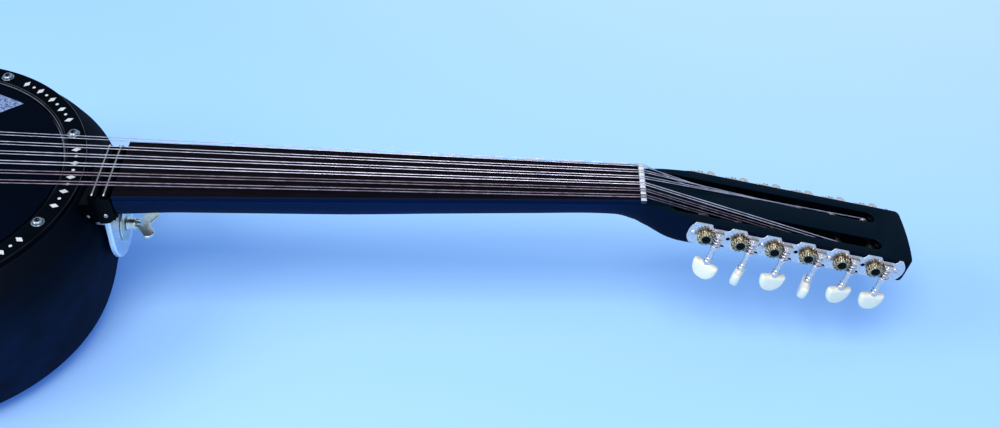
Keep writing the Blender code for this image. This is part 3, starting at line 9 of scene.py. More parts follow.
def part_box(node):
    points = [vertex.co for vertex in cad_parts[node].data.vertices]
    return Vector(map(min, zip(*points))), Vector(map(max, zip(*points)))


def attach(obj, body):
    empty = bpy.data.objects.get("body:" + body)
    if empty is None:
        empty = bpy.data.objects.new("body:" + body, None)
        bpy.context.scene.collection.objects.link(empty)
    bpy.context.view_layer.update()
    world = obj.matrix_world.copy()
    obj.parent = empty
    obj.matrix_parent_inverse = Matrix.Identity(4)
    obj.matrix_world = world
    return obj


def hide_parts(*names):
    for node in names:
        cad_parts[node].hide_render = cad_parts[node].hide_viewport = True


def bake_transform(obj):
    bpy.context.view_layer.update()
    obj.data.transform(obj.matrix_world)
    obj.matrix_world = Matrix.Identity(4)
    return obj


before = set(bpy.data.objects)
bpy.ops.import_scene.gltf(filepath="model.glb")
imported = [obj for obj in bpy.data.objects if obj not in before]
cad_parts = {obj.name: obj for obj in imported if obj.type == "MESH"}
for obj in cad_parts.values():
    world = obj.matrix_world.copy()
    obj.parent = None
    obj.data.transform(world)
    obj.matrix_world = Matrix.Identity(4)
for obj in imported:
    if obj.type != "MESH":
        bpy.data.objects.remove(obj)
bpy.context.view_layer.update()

# Sizes that the looks share with the CAD model, in metres.
MM = 0.001
SEAT = 0.3 * MM
PLATE_TOP = 135 * MM
WALL = 2 * MM
BOWL_RADIUS = 146.3 * MM
PLATE_RADIUS = 130 * MM
PLATE_BORE = 114.3 * MM
PLATE_THICKNESS = 4 * MM
BOLT_CIRCLE = 122 * MM
BEARING_RADIUS = 111.4 * MM
BRIDGE_X = -68 * MM
NECK_START = 158.5 * MM
NUT_X = 512.1 * MM
NUT_LENGTH = 4.1 * MM
NUT_TOP = PLATE_TOP + 5.6 * MM
BOARD_THICKNESS = 3.6 * MM
HEAD_TILT = math.radians(13)
HEAD_LENGTH = 192 * MM
HEAD_HALF_WIDTH = 26.6 * MM
HEAD_THICKNESS = 21.8 * MM
SLOT_START = 18 * MM
SLOT_WIDTH = 9.8 * MM
SLOT_CENTRE = 13.9 * MM
TUNER_PLACES = (43.5 + 24.4 * np.arange(6)) * MM
SLOT_END = TUNER_PLACES[-1] + 4.6 * MM
TUNER_DEPTH = 8.9 * MM
TEETH = 14
PITCH_RADIUS = 5.47 * MM
THREAD_PITCH = 2 * math.pi * PITCH_RADIUS / TEETH
THREAD_RISE = THREAD_PITCH / math.pi
ROOT_GAP = 0.1 * MM
WORM_PITCH_RADIUS = 2.4 * MM
WORM_OFFSET = PITCH_RADIUS + WORM_PITCH_RADIUS
WORM_LENGTH = 7.4 * MM
WHEEL_WIDTH = 3.6 * MM
STRIP_INNER = HEAD_HALF_WIDTH + SEAT
STRIP_OUTER = STRIP_INNER + 1.2 * MM
WHEEL_MIDDLE = STRIP_OUTER + 1.7 * MM + WHEEL_WIDTH / 2
POST_RADIUS = 3.2 * MM
THICK_WIRE = 0.42 * MM
THIN_WIRE = 0.25 * MM
KEY_TURNS = {"near": (-30, 62, 10, 73, 16, 10), "far": (20, 72, -12, 40, 84, 15)}
STUD_Z = PLATE_TOP - 42.5 * MM
HINGE_X = 151.7 * MM
HINGE_Z = PLATE_TOP - 9.7 * MM


def board_top(x):
    """The fingerboard's top, a straight line that falls from the joint to the nut."""
    return PLATE_TOP + (9.1 - 4.2 * (x - NECK_START) / (NUT_X - NECK_START)) * MM


def neck_top(x):
    """The neck's own top, which the fingerboard lies on."""
    return board_top(x) - BOARD_THICKNESS - SEAT


def neck_half_width(x):
    """Half the neck's width, a straight taper from the joint to the nut."""
    return (29.4 - 10.5 * (x - NECK_START) / (NUT_X - NECK_START)) * MM


HEAD_X = NUT_X + NUT_LENGTH
HEAD_Z = neck_top(NUT_X)
HEAD_FRAME = Matrix.Translation((HEAD_X, 0, HEAD_Z)) @ Matrix.Rotation(HEAD_TILT, 4, "Y")
ALONG_X = Matrix.Rotation(math.radians(90), 4, "Y")
ALONG_Y = Matrix.Rotation(math.radians(-90), 4, "X")
UPRIGHT = Matrix.Identity(4)
IN_MM = Matrix.Scale(MM, 4)
# Where the strings cross, as x and height, and the gaps between courses and within a pair.
TAIL_LINE = (-109 * MM, PLATE_TOP + 5.2 * MM, 10.6 * MM, 4 * MM)
BRIDGE_LINE = (BRIDGE_X - 1.3 * MM, PLATE_TOP + 20.3 * MM, 11.3 * MM, 3.2 * MM)
NUT_LINE = (NUT_X + 2.8 * MM, NUT_TOP + 0.05 * MM, 6.5 * MM, 2.3 * MM)


# Shapes: a form is an array of points and a list of faces.

def moved(form, matrix):
    """A form carried to its place: a matrix turns, scales and shifts each point."""
    points, faces = form
    change = np.array(matrix)
    return points @ change[:3, :3].T + change[:3, 3], faces


def joined(*forms):
    """Several forms in one, with each form's faces counted on from the points before it."""
    starts = np.cumsum([0] + [len(points) for points, _ in forms])
    faces = [[corner + int(start) for corner in face] for start, (_, group) in zip(starts, forms) for face in group]
    return np.concatenate([points for points, _ in forms]), faces


def unit(rows):
    """Each row scaled to a length of one."""
    return rows / np.maximum(np.linalg.norm(rows, axis=1, keepdims=True), 1e-12)


def circle(steps):
    """Even angles once round."""
    return np.linspace(0, 2 * np.pi, steps, endpoint=False)


def polygon(corners, radius):
    """An even outline with its corners on a circle."""
    angle = circle(corners)
    return np.column_stack([np.cos(angle), np.sin(angle)]) * radius


def bent(values, power):
    """Values raised to a power, each with its sign kept."""
    return np.sign(values) * np.abs(values) ** power


def grid(x, y, z, ring=False, caps=False):
    """Four-sided faces over rows of points, each row closed; the rows close as well in a ring, or end in caps."""
    points = np.stack(np.broadcast_arrays(x, y, z), axis=-1)
    rows, columns = points.shape[:2]
    number = np.arange(rows * columns).reshape(rows, columns)
    number = np.concatenate([number, number[:, :1]], axis=1)
    if ring:
        number = np.concatenate([number, number[:1]])
    corners = (number[:-1, :-1], number[:-1, 1:], number[1:, 1:], number[1:, :-1])
    faces = np.stack(corners, axis=-1).reshape(-1, 4).tolist()
    if caps:
        faces += [list(range(columns)), list(range((rows - 1) * columns, rows * columns))]
    return points.reshape(-1, 3), faces


def turned(profile, steps, matrix=UPRIGHT, ring=False):
    """A profile of radius and height swung round the Z axis: x = r cos a, y = r sin a, z = height."""
    radius, height = np.asarray(profile, float).T[:, :, None]
    angle = circle(steps)
    return moved(grid(radius * np.cos(angle), radius * np.sin(angle), height, ring), matrix)


def rounded(path, radius, ring=False, steps=4):
    """A path whose corners are parabolas that start and end a radius away from each corner."""
    path = np.asarray(path, float)
    before = np.roll(path, 1, axis=0)
    after = np.roll(path, -1, axis=0)
    if not ring:
        before[0] = path[0]
        after[-1] = path[-1]
    t = np.linspace(0, 1, steps + 1)[None, :, None]
    ends = []
    for other in (before, after):
        run = other - path
        length = np.linalg.norm(run, axis=1, keepdims=True)
        ends.append(path + run * np.minimum(radius / np.maximum(length, 1e-9), 0.48))
    start, end = (side[:, None] for side in ends)
    curve = (1 - t) ** 2 * start + 2 * t * (1 - t) * path[:, None] + t ** 2 * end
    return curve.reshape(-1, path.shape[1])


def outward(outline):
    """Normals of a closed outline, each between those of its two edges, stretched for the mitre."""
    ahead = unit(np.roll(outline, -1, axis=0) - outline)
    back = unit(outline - np.roll(outline, 1, axis=0))
    run = unit(ahead + back)
    stretch = 1 / np.clip(np.sum(run * ahead, axis=1, keepdims=True), 0.6, 1)
    return np.column_stack([run[:, 1], -run[:, 0]]) * stretch


def anticlockwise(outline):
    """An outline that runs anticlockwise, which its signed area tells."""
    outline = np.asarray(outline, float)
    x, y = outline.T
    area = np.sum(x * np.roll(y, -1) - np.roll(x, -1) * y)
    return outline if area > 0 else outline[::-1]


def slab(outline, low, high, edge, matrix=UPRIGHT, steps=3):
    """A flat outline between two heights, drawn in by a quarter circle at both rims."""
    outline = anticlockwise(outline)
    turn = np.linspace(0, np.pi / 2, steps + 1)
    inset = edge * (1 - np.sin(turn))
    rise = edge * (1 - np.cos(turn))
    insets = np.concatenate([inset, inset[::-1]])
    heights = np.concatenate([low + rise, high - rise[::-1]])
    flat = outline[None] - outward(outline)[None] * insets[:, None, None]
    return moved(grid(flat[..., 0], flat[..., 1], heights[:, None], caps=True), matrix)


def tube(path, radius, sides):
    """A round section carried along a path, in a frame that is square to the path and to the Y axis."""
    run = unit(np.gradient(path, axis=0))
    side = unit(np.cross(run, (0, 1, 0)))[:, None]
    up = np.cross(side, run[:, None])
    angle = circle(sides)[None, :, None]
    points = path[:, None] + radius * (np.cos(angle) * side + np.sin(angle) * up)
    return grid(*points.transpose(2, 0, 1), caps=True)


def eased(knots, values, places):
    """Values on a smooth curve through knots: cubic pieces whose slopes are harmonic means, so none overshoots."""
    knots = np.asarray(knots, float)
    values = np.asarray(values, float)
    gap = np.diff(knots)[:, None]
    rise = np.diff(values, axis=0) / gap
    product = rise[:-1] * rise[1:]
    slope = np.zeros_like(values)
    slope[1:-1] = np.where(product > 0, 2 * product / np.where(product > 0, rise[:-1] + rise[1:], 1), 0)
    slope[0] = rise[0]
    slope[-1] = rise[-1]
    k = np.clip(np.searchsorted(knots, places, side="right") - 1, 0, len(knots) - 2)
    t = (places - knots[k])[:, None] / gap[k]
    start = (1 + 2 * t) * (1 - t) ** 2 * values[k] + t * (1 - t) ** 2 * gap[k] * slope[k]
    end = t ** 2 * (3 - 2 * t) * values[k + 1] - t ** 2 * (1 - t) * gap[k] * slope[k + 1]
    return start + end


def smooth_line(points, steps):
    """A curve through points, each piece a cubic that leaves along the line between its neighbours."""
    points = np.asarray(points, float)
    row = np.concatenate([points[:1], points, points[-1:]])
    t = np.linspace(0, 1, steps, endpoint=False)[None, :, None]
    before, here, there, after = (row[k:len(row) - 3 + k][:, None] for k in range(4))
    curve = (
        (-t + 2 * t ** 2 - t ** 3) * before
        + (2 - 5 * t ** 2 + 3 * t ** 3) * here
        + (t + 4 * t ** 2 - 3 * t ** 3) * there
        + (t ** 3 - t ** 2) * after
    ) / 2
    return np.concatenate([curve.reshape(-1, points.shape[1]), points[-1:]])


def raw_mesh(name, form):
    """A mesh from a form, with doubled points merged and faces turned outwards."""
    points, faces = form
    mesh = bpy.data.meshes.new(name)
    mesh.from_pydata(points.tolist(), [], faces)
    shape = bmesh.new()
    shape.from_mesh(mesh)
    bmesh.ops.remove_doubles(shape, verts=shape.verts, dist=1e-6)
    bmesh.ops.dissolve_degenerate(shape, edges=shape.edges, dist=1e-7)
    bmesh.ops.recalc_face_normals(shape, faces=shape.faces)
    shape.to_mesh(mesh)
    shape.free()
    return mesh


def new_object(name, data):
    """An object in the scene, of a mesh, a lamp or a camera."""
    item = bpy.data.objects.new(name, data)
    bpy.context.scene.collection.objects.link(item)
    return item


def carved(form, *cutters):
    """A form with others cut out of it by exact Booleans."""
    holder = new_object("carved", raw_mesh("carved", form))
    helpers = []
    for number, cutter in enumerate(cutters):
        helper = new_object(f"cutter_{number}", raw_mesh("cutter", cutter))
        modifier = holder.modifiers.new(helper.name, "BOOLEAN")
        modifier.operation = "DIFFERENCE"
        modifier.solver = "EXACT"
        modifier.object = helper
        helpers.append(helper)
    bpy.context.view_layer.update()
    mesh = bpy.data.meshes.new_from_object(holder.evaluated_get(bpy.context.evaluated_depsgraph_get()))
    points = np.array([vertex.co for vertex in mesh.vertices])
    faces = [list(face.vertices) for face in mesh.polygons]
    for helper in [holder, *helpers]:
        bpy.data.objects.remove(helper, do_unlink=True)
    return points, faces


def dressed(item, finish, body, stands_for=(), crease=35):
    """Smooth faces with sharp creases, a finish, the body that carries it, and the CAD nodes it stands for."""
    item.data.shade_smooth()
    item.data.set_sharp_from_angle(angle=math.radians(crease))
    item.data.materials.append(finish)
    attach(item, body)
    if stands_for:
        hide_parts(*stands_for)
    return item


def put(name, form, finish, body, stands_for=(), crease=35):
    """Make a piece of a form, give it its finish, and let it ride on a body in place of CAD nodes."""
    return dressed(new_object(name, raw_mesh(name, form)), finish, body, stands_for, crease)


def refined(name, node, finish, body, edge):
    """A CAD node's shape with its triangles merged to flat faces and its edges rounded by Bevel."""
    shape = bmesh.new()
    shape.from_mesh(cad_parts[node].data)
    bmesh.ops.remove_doubles(shape, verts=shape.verts, dist=1e-6)
    bmesh.ops.dissolve_limit(shape, angle_limit=0.02, verts=shape.verts, edges=shape.edges)
    mesh = bpy.data.meshes.new(name)
    shape.to_mesh(mesh)
    shape.free()
    item = dressed(new_object(name, mesh), finish, body, [node])
    bevel = item.modifiers.new("rounding", "BEVEL")
    bevel.width = edge
    bevel.segments = 3
    bevel.limit_method = "ANGLE"
    bevel.angle_limit = math.radians(32)
    bevel.use_clamp_overlap = True


# Finishes

def srgb(code):
    """A six-digit sRGB colour as linear light."""
    values = [int(code[k:k + 2], 16) / 255 for k in (0, 2, 4)]
    return (*(v / 12.92 if v <= 0.04045 else ((v + 0.055) / 1.055) ** 2.4 for v in values), 1.0)


def add_node(owner, kind, inputs=None, out=0, **settings):
    """Add a node, set its properties, give its inputs values or sockets, and hand back one output or all."""
    tree = owner.node_tree
    made = tree.nodes.new("ShaderNode" + kind)
    for name, value in settings.items():
        setattr(made, name, value)
    for key, value in (inputs or {}).items():
        if isinstance(value, bpy.types.NodeSocket):
            tree.links.new(value, made.inputs[key])
        else:
            made.inputs[key].default_value = value
    return made.outputs if out is None else made.outputs[out]


def place_of(finish):
    """Each point's place in the object's own coordinates."""
    return finish.node_tree.nodes["place"].outputs["Object"]


def grain_of(finish):
    """The noise that a finish takes its grain from."""
    return finish.node_tree.nodes["grain"].outputs[0]


def facing(finish):
    """The surface's own direction, split into x, y and z."""
    return add_node(finish, "SeparateXYZ", {0: add_node(finish, "NewGeometry", out="Normal")}, None)


def drive(finish, name, socket):
    """Let a node's output drive one of the shader's inputs."""
    finish.node_tree.links.new(socket, finish.node_tree.nodes["Principled BSDF"].inputs[name])


def new_finish(name, base, roughness=0.5, metallic=0.0, **more):
    """A material with its nodes, its shader set to given values, and the object's own coordinates."""
    finish = bpy.data.materials.new(name)
    finish.use_nodes = True
    shader = finish.node_tree.nodes["Principled BSDF"]
    for key, value in {"base_color": srgb(base), "roughness": roughness, "metallic": metallic, **more}.items():
        shader.inputs[key.replace("_", " ").title().replace("Ior", "IOR")].default_value = value
    add_node(finish, "TexCoord", out="Object", name="place")
    return finish


def clear_coat(weight, roughness):
    """Settings of a dark finish whose gloss is a thin clear coat, so that its edges stay dark as well."""
    return {"specular_ior_level": 0.0, "coat_weight": weight, "coat_roughness": roughness}


def tinted(finish, factor, first, second, low=0.35, high=0.65):
    """Base colour that runs from one tint to another as a factor rises."""
    share = add_node(finish, "MapRange", {"Value": factor, "From Min": low, "From Max": high})
    blend = add_node(finish, "Mix", {0: share, 6: srgb(first), 7: srgb(second)}, 2, data_type="RGBA")
    drive(finish, "Base Color", blend)


def overlaid(finish, code, *factors):
    """Another colour over the present one, as far as all the factors let it through."""
    share = factors[0]
    for factor in factors[1:]:
        share = add_node(finish, "Math", {0: share, 1: factor}, operation="MULTIPLY")
    colour = finish.node_tree.nodes["Principled BSDF"].inputs["Base Color"]
    under = colour.links[0].from_socket if colour.links else tuple(colour.default_value)
    drive(finish, "Base Color", add_node(finish, "Mix", {0: share, 6: under, 7: srgb(code)}, 2, data_type="RGBA"))


def compared(finish, value, limit, operation, absolute=True):
    """One where a value, or its size, is above or below a limit."""
    if absolute:
        value = add_node(finish, "Math", {0: value}, operation="ABSOLUTE")
    return add_node(finish, "Math", {0: value, 1: limit}, operation=operation)


def near_line(finish, value, line, far, near, level=1.0):
    """A level where a value is close to a line, which fades to nothing further off."""
    offset = add_node(finish, "Math", {0: value, 1: line}, operation="SUBTRACT")
    away = add_node(finish, "Math", {0: offset}, operation="ABSOLUTE")
    return add_node(finish, "MapRange", {"Value": away, "From Min": far, "From Max": near, "To Max": level})


def grained(name, tints, grain, gloss, relief, stretch=None, **more):
    """A finish with one noise of a real grain size, in millimetres, that sways the gloss and lifts the surface.

    Between two tints it also runs the colour, and it can be drawn out along the grain.
    """
    finish = new_finish(name, tints[0], **more)
    place = place_of(finish)
    if stretch:
        place = add_node(finish, "Mapping", {"Vector": place, "Scale": stretch})
    fine = {"Vector": place, "Scale": 1 / (grain * MM), "Detail": 4.0, "Roughness": 0.6}
    noise = add_node(finish, "TexNoise", fine, name="grain")
    reach = {"From Min": 0.3, "From Max": 0.7, "To Min": gloss[0], "To Max": gloss[1]}
    drive(finish, "Roughness", add_node(finish, "MapRange", {"Value": noise, **reach}))
    drive(finish, "Normal", add_node(finish, "Bump", {"Height": noise, "Distance": relief * MM}))
    if len(tints) > 1:
        tinted(finish, noise, *tints)
    return finish


def bowl_enamel():
    """Matt stoving enamel on spun aluminium: near black, with orange peel and lathe rings, and painted shade that makes
    it blackest at the shoulder.
    """
    finish = grained("matt_enamel_on_spun_aluminium", ["021230"], 1.6, (0.42, 0.58), 0.06, **clear_coat(0.1, 0.45))
    place = place_of(finish)
    broad = add_node(finish, "TexNoise", {"Vector": place, "Scale": 1 / (22 * MM), "Detail": 3.0})
    tinted(finish, broad, "01102a", "03183a")
    # Painted shade: the colour darkens with height, from 75 mm up to the shoulder at 122 mm.
    height = add_node(finish, "SeparateXYZ", {0: place}, "Z")
    shoulder = add_node(finish, "MapRange", {"Value": height, "From Min": 75 * MM, "From Max": 122 * MM})
    overlaid(finish, "010612", shoulder)
    rings = add_node(
        finish, "TexWave", {"Vector": place, "Scale": 1 / (14 * MM), "Distortion": 0.4, "Detail": 1.0}, 1,
        wave_type="BANDS", bands_direction="Z",
    )
    both = add_node(finish, "Math", {0: rings, 1: 0.35, 2: grain_of(finish)}, operation="MULTIPLY_ADD")
    drive(finish, "Normal", add_node(finish, "Bump", {"Height": both, "Distance": 0.06 * MM}))
    return finish


def plate_enamel():
    """Satin enamel on a flat aluminium ring, with painted highlights as thin grey lines along its step and both its
    rims.
    """
    finish = grained("satin_enamel_on_plate", ["000206"], 0.9, (0.27, 0.4), 0.012, **clear_coat(0.05, 0.32))
    place = place_of(finish)
    flat = add_node(finish, "Mapping", {"Vector": place, "Scale": (1.0, 1.0, 0.0)})
    radius = add_node(finish, "VectorMath", {0: flat}, "Value", operation="LENGTH")
    broad = add_node(finish, "TexNoise", {"Vector": place, "Scale": 1 / (25 * MM), "Detail": 4.0})
    tinted(finish, broad, "000206", "02060e")
    patchy = add_node(finish, "MapRange", {"Value": broad, "From Min": 0.4, "From Max": 0.6, "To Min": 0.35})
    # Painted highlights: thin grey lines along the bore's chamfer, the step and the outer rim, only on faces that look
    # up, and faint towards the near side.
    turned_up = compared(finish, facing(finish)[2], 0.3, "GREATER_THAN", absolute=False)
    across = add_node(finish, "SeparateXYZ", {0: place}, "Y")
    handled = add_node(
        finish, "MapRange", {"Value": across, "From Min": -30 * MM, "From Max": 40 * MM, "To Min": 0.12}
    )
    for line, half, level in (
        (PLATE_BORE + 0.5 * MM, 0.4 * MM, 0.45),
        (PLATE_BORE + 2.1 * MM, 0.25 * MM, 0.2),
        (PLATE_RADIUS - 0.3 * MM, 0.3 * MM, 0.5),
    ):
        painted_highlight_line = near_line(finish, radius, line, half, half * 0.6, level)
        overlaid(finish, "868a98", painted_highlight_line, patchy, turned_up, handled)
    return finish


def casting_enamel():
    """Gloss enamel on a sand casting, with grey painted highlights along its ridges' crests and near-white painted
    glints at their ends.
    """
    finish = grained("gloss_enamel_on_casting", ["010306"], 1.2, (0.2, 0.36), 0.05, **clear_coat(0.12, 0.25))
    spot = add_node(finish, "SeparateXYZ", {0: place_of(finish)}, None)
    # The two ridges lie this far on either side of a line between them.
    half_gap = 4 * MM
    middle = HINGE_X + 0.95 * MM - half_gap
    offset = add_node(finish, "Math", {0: spot[0], 1: middle}, operation="SUBTRACT")
    away = add_node(finish, "Math", {0: offset}, operation="ABSOLUTE")
    line = near_line(finish, away, half_gap, 0.55 * MM, 0.35 * MM)
    crest = PLATE_TOP + 7 * MM
    above = {"Value": spot[2], "From Min": crest - 0.1 * MM, "From Max": crest + 0.1 * MM}
    high = add_node(finish, "MapRange", above)
    patchy = {"Value": grain_of(finish), "From Min": 0.3, "From Max": 0.5, "To Min": 0.5}
    # Painted highlights: a grey line along each ridge's crest, and a near-white painted glint at both its ends.
    overlaid(finish, "8c8f98", line, high, add_node(finish, "MapRange", patchy))
    overlaid(finish, "e0e2e8", line, high, compared(finish, spot[1], 25 * MM, "GREATER_THAN"))
    return finish


def silver_ink():
    """Silver-grey ink printed as a speckle: bright and dark grains about a millimetre across."""
    finish = new_finish("speckled_silver_ink", "8b93a8", 0.45)
    grains = add_node(finish, "TexVoronoi", {"Vector": place_of(finish), "Scale": 1 / (0.9 * MM)}, None)
    tinted(finish, grains["Color"], "26365e", "92a8da", 0.15, 0.8)
    drive(finish, "Normal", add_node(finish, "Bump", {"Height": grains[0], "Distance": 0.02 * MM}))
    return finish


def string_wire(name, tint, dull, pitch, relief):
    """Music wire, or wire with a bronze winding: fine turns drawn about a millimetre apart so that they show."""
    finish = new_finish(name, tint, 0.3, 1.0)
    turns = add_node(
        finish, "TexWave", {"Vector": add_node(finish, "UVMap"), "Scale": 1 / pitch / math.pi}, 1,
        wave_type="BANDS", bands_direction="X",
    )
    drive(finish, "Normal", add_node(finish, "Bump", {"Height": turns, "Distance": relief * MM}))
    cloud = add_node(finish, "TexNoise", {"Vector": place_of(finish), "Scale": 1 / (6 * MM)})
    tinted(finish, cloud, tint, dull)
    return finish


def neck_lacquer():
    """Navy lacquer over wood, polished, with faint pores along the grain; the navy on the sides is partly a painted
    reflection of the blue floor, the face is blacker, and painted shade blackens the slots and the head's sides.
    """
    finish = grained(
        "navy_lacquer_and_painted_reflection_on_wood", ["011434", "041c44"], 0.8, (0.18, 0.32), 0.02, (0.12, 1.0, 1.0),
        **clear_coat(0.09, 0.24)
    )
    spot = add_node(finish, "SeparateXYZ", {0: place_of(finish)}, None)
    normal = facing(finish)
    slot_side = SLOT_CENTRE + SLOT_WIDTH / 2 + 1 * MM
    # The colour grows paler along the neck, and is darker again from the nut on.
    paler = {"Value": spot[0], "From Min": 0.18, "From Max": 0.35, "To Max": 0.6}
    darker = {"Value": spot[0], "From Min": 0.48, "From Max": 0.52}
    # Faces that look up are darker than the sides, whose navy is partly a painted reflection of the blue floor.
    face = {"Value": normal[2], "From Min": 0.5, "From Max": 0.9}
    for code, share in (("052050", paler), ("010f2a", darker), ("021220", face)):
        overlaid(finish, code, add_node(finish, "MapRange", share))
    # Painted shade: near black on the slot walls, and darker on the head's upright faces outside the slots.
    upright = compared(finish, normal[2], 0.5, "LESS_THAN")
    for code, side, start in (("010307", "LESS_THAN", 14 * MM), ("020b20", "GREATER_THAN", 33 * MM)):
        across = compared(finish, spot[1], slot_side, side)
        overlaid(finish, code, upright, across, compared(finish, spot[0], HEAD_X + start, "GREATER_THAN"))
    return finish


def board_wood():
    """Stained hardwood, oiled: brown-black with long dark pores along the neck, its edges lacquered with the neck."""
    finish = grained(
        "stained_hardwood_board", ["09070c", "130e16"], 1.1, (0.36, 0.55), 0.04, (0.05, 1.0, 1.0),
        **clear_coat(0.06, 0.45)
    )
    side = add_node(finish, "Math", {0: facing(finish)[1]}, operation="ABSOLUTE")
    overlaid(finish, "03163a", add_node(finish, "MapRange", {"Value": side, "From Min": 0.5, "From Max": 0.8}))
    return finish


def nut_plastic():
    """White moulded plastic, sawn and filed: a fine matt grain, its ends lacquered with the neck near their foot."""
    finish = grained(
        "filed_white_plastic", ["dfe6ee", "f6f9fc"], 0.6, (0.36, 0.55), 0.03, subsurface_weight=0.08
    )
    spot = add_node(finish, "SeparateXYZ", {0: place_of(finish)}, None)
    foot = compared(finish, spot[2], NUT_TOP - 1.6 * MM, "LESS_THAN")
    overlaid(finish, "03163a", foot, compared(finish, spot[1], 18.3 * MM, "GREATER_THAN"))
    return finish


def pearl():
    """Pearloid plastic: milky white with cloudy cream flakes, polished under a clear skin."""
    finish = grained(
        "pearloid_plastic", ["e6e9e4"], 3, (0.18, 0.3), 0.01,
        coat_weight=0.5, coat_roughness=0.06, subsurface_weight=0.1
    )
    flakes = {"Scale": 1 / (5 * MM), "Distortion": 1.6, "Detail": 3.0}
    swirl = add_node(finish, "TexNoise", {"Vector": place_of(finish), **flakes})
    tinted(finish, swirl, "fdf9ec", "fffdf4")
    return finish


def plated(name, tint, dull, gloss):
    """Bright plate over steel or brass: a metal whose tint dulls in cloudy patches with handling."""
    return grained(name, [tint, dull], 1.4, gloss, 0.01, metallic=1.0)


ENAMEL = bowl_enamel()
PLATE_ENAMEL = plate_enamel()
CASTING = casting_enamel()
# Black polyester film stretched tight: near black with a blue cast, semi-gloss, finely dusted.
FILM = grained("black_polyester_film", ["010510", "020818"], 0.7, (0.24, 0.4), 0.008, **clear_coat(0.035, 0.3))
# White screen ink, thin enough that the black under it greys it in places.
WHITE_INK = grained("white_screen_ink", ["b9bec9", "eef1f6"], 0.8, (0.5, 0.65), 0.01)
SILVER_INK = silver_ink()
NICKEL = plated("nickel_plate", "eee2de", "c8c0c4", (0.16, 0.3))
BOLT_PLATE = plated("handled_nickel_plate", "a8b2ba", "7a828c", (0.2, 0.36))
ZINC = plated("bright_zinc_plate", "e2e8e0", "c4cccc", (0.26, 0.44))
STEEL = plated("plain_steel", "a9abb0", "86888e", (0.26, 0.4))
PLAIN_WIRE = string_wire("plain_music_wire", "dcd4e0", "b8aebe", 1.2, 0.005)
WOUND_WIRE = string_wire("tarnished_wound_wire", "8a7c88", "685a64", 0.9, 0.06)
LACQUER = neck_lacquer()
BOARD = board_wood()
# Planed maple: pale brown, with lines about a millimetre apart that run along the bridge.
MAPLE = grained("planed_maple", ["a06f40", "c99e6b"], 0.9, (0.42, 0.6), 0.04, (1.0, 0.12, 1.0))
NUT_WHITE = nut_plastic()
PEARL = pearl()
# Machined brass, lacquered: warm and bright on the teeth, browner where the cutter left it rough.
BRASS = grained("machined_brass", ["6c6450", "c2b89c"], 1.5, (0.2, 0.42), 0.02, metallic=1.0)
# Blued steel screws: almost black with a low sheen; the dark hexagons that paint the shade in the bolts' sockets use it
# too.
DARK_STEEL = grained("blued_steel_and_socket_shade", ["0c0c10"], 0.8, (0.32, 0.5), 0.01, metallic=0.6, specular_ior_level=0.1)
# Cast aluminium, tumbled and buffed: soft bright metal with small pits and a hazy gloss.
ALUMINIUM = grained("buffed_cast_aluminium", ["dfe8f6", "f6f8ff"], 1.8, (0.24, 0.42), 0.05, metallic=1.0)
# Black vinyl sheath: dull, with a slight grain.
SHEATH = grained("vinyl_sheath", ["0c0c0e"], 0.8, (0.52, 0.68), 0.01)


# The pot

def bowl_line():
    """The middle of the bowl's sheet: the shelf's corners, then a smooth side from shoulder to heel and base."""
    rim = PLATE_TOP - PLATE_THICKNESS - SEAT - WALL / 2
    shelf = np.array([
        (BEARING_RADIUS, PLATE_TOP - 1.3 * MM),
        (BEARING_RADIUS, PLATE_TOP - 11.2 * MM),
        (117 * MM, PLATE_TOP - 11.2 * MM),
        (117 * MM, rim),
    ])
    side = smooth_line([
        (PLATE_RADIUS, rim),
        (PLATE_RADIUS + 0.72 * (BOWL_RADIUS - PLATE_RADIUS), PLATE_TOP - 20.5 * MM),
        (BOWL_RADIUS, PLATE_TOP - 41 * MM),
        (130.5 * MM, 29 * MM),
        (116 * MM, 7.54 * MM),
        (92 * MM, WALL / 2),
    ], 14)
    side[:, 0] = np.minimum(side[:, 0], BOWL_RADIUS)
    return np.concatenate([rounded(shelf, 1.2 * MM), side, [(0.0, WALL / 2)]])


def make_bowl():
    """The spun bowl: its middle line is moved half the wall both ways and turned, so the sheet has an inside."""
    line = bowl_line()
    run = unit(np.gradient(line, axis=0))
    across = np.column_stack([-run[:, 1], run[:, 0]]) * WALL / 2
    outer = line + across
    inner = line - across
    outer[-1] = (0.0, 0.0)
    inner[-1] = (0.0, WALL)
    form = turned(np.concatenate([outer, inner[::-1]]), 224, ring=True)
    put("bowl_shell", form, ENAMEL, "pot", ("bowl",), 50)


def make_ring():
    """The tension plate: a flat ring, its bore chamfered with a fine step, its rim rounded."""
    low = PLATE_TOP - PLATE_THICKNESS
    profile = rounded([
        (PLATE_BORE, low),
        (PLATE_BORE, PLATE_TOP - 1.2 * MM),
        (PLATE_BORE + 0.9 * MM, PLATE_TOP - 0.45 * MM),
        (PLATE_BORE + 1.9 * MM, PLATE_TOP - 0.4 * MM),
        (PLATE_BORE + 2.2 * MM, PLATE_TOP),
        (PLATE_RADIUS - 0.5 * MM, PLATE_TOP),
        (PLATE_RADIUS, PLATE_TOP - 0.5 * MM),
        (PLATE_RADIUS, low),
    ], 0.3 * MM, ring=True)
    put("tension_plate", turned(profile, 256, ring=True), PLATE_ENAMEL, "pot", ("top_plate",), 60)
    bolt, socket = plate_bolt()
    seat = Matrix.Translation((BOLT_CIRCLE, 0, PLATE_TOP))
    turns = [
        Matrix.Rotation(angle, 4, "Z") @ seat @ Matrix.Rotation(angle * 1.3, 4, "Z")
        for angle in (np.arange(8) + 0.5) * np.pi / 4
    ]
    put("plate_bolts", joined(*(moved(bolt, turn) for turn in turns)), BOLT_PLATE, "pot")
    # The dark hexagons are painted shade in the bolts' sockets.
    put("bolt_socket_shade", joined(*(moved(socket, turn) for turn in turns)), DARK_STEEL, "pot")


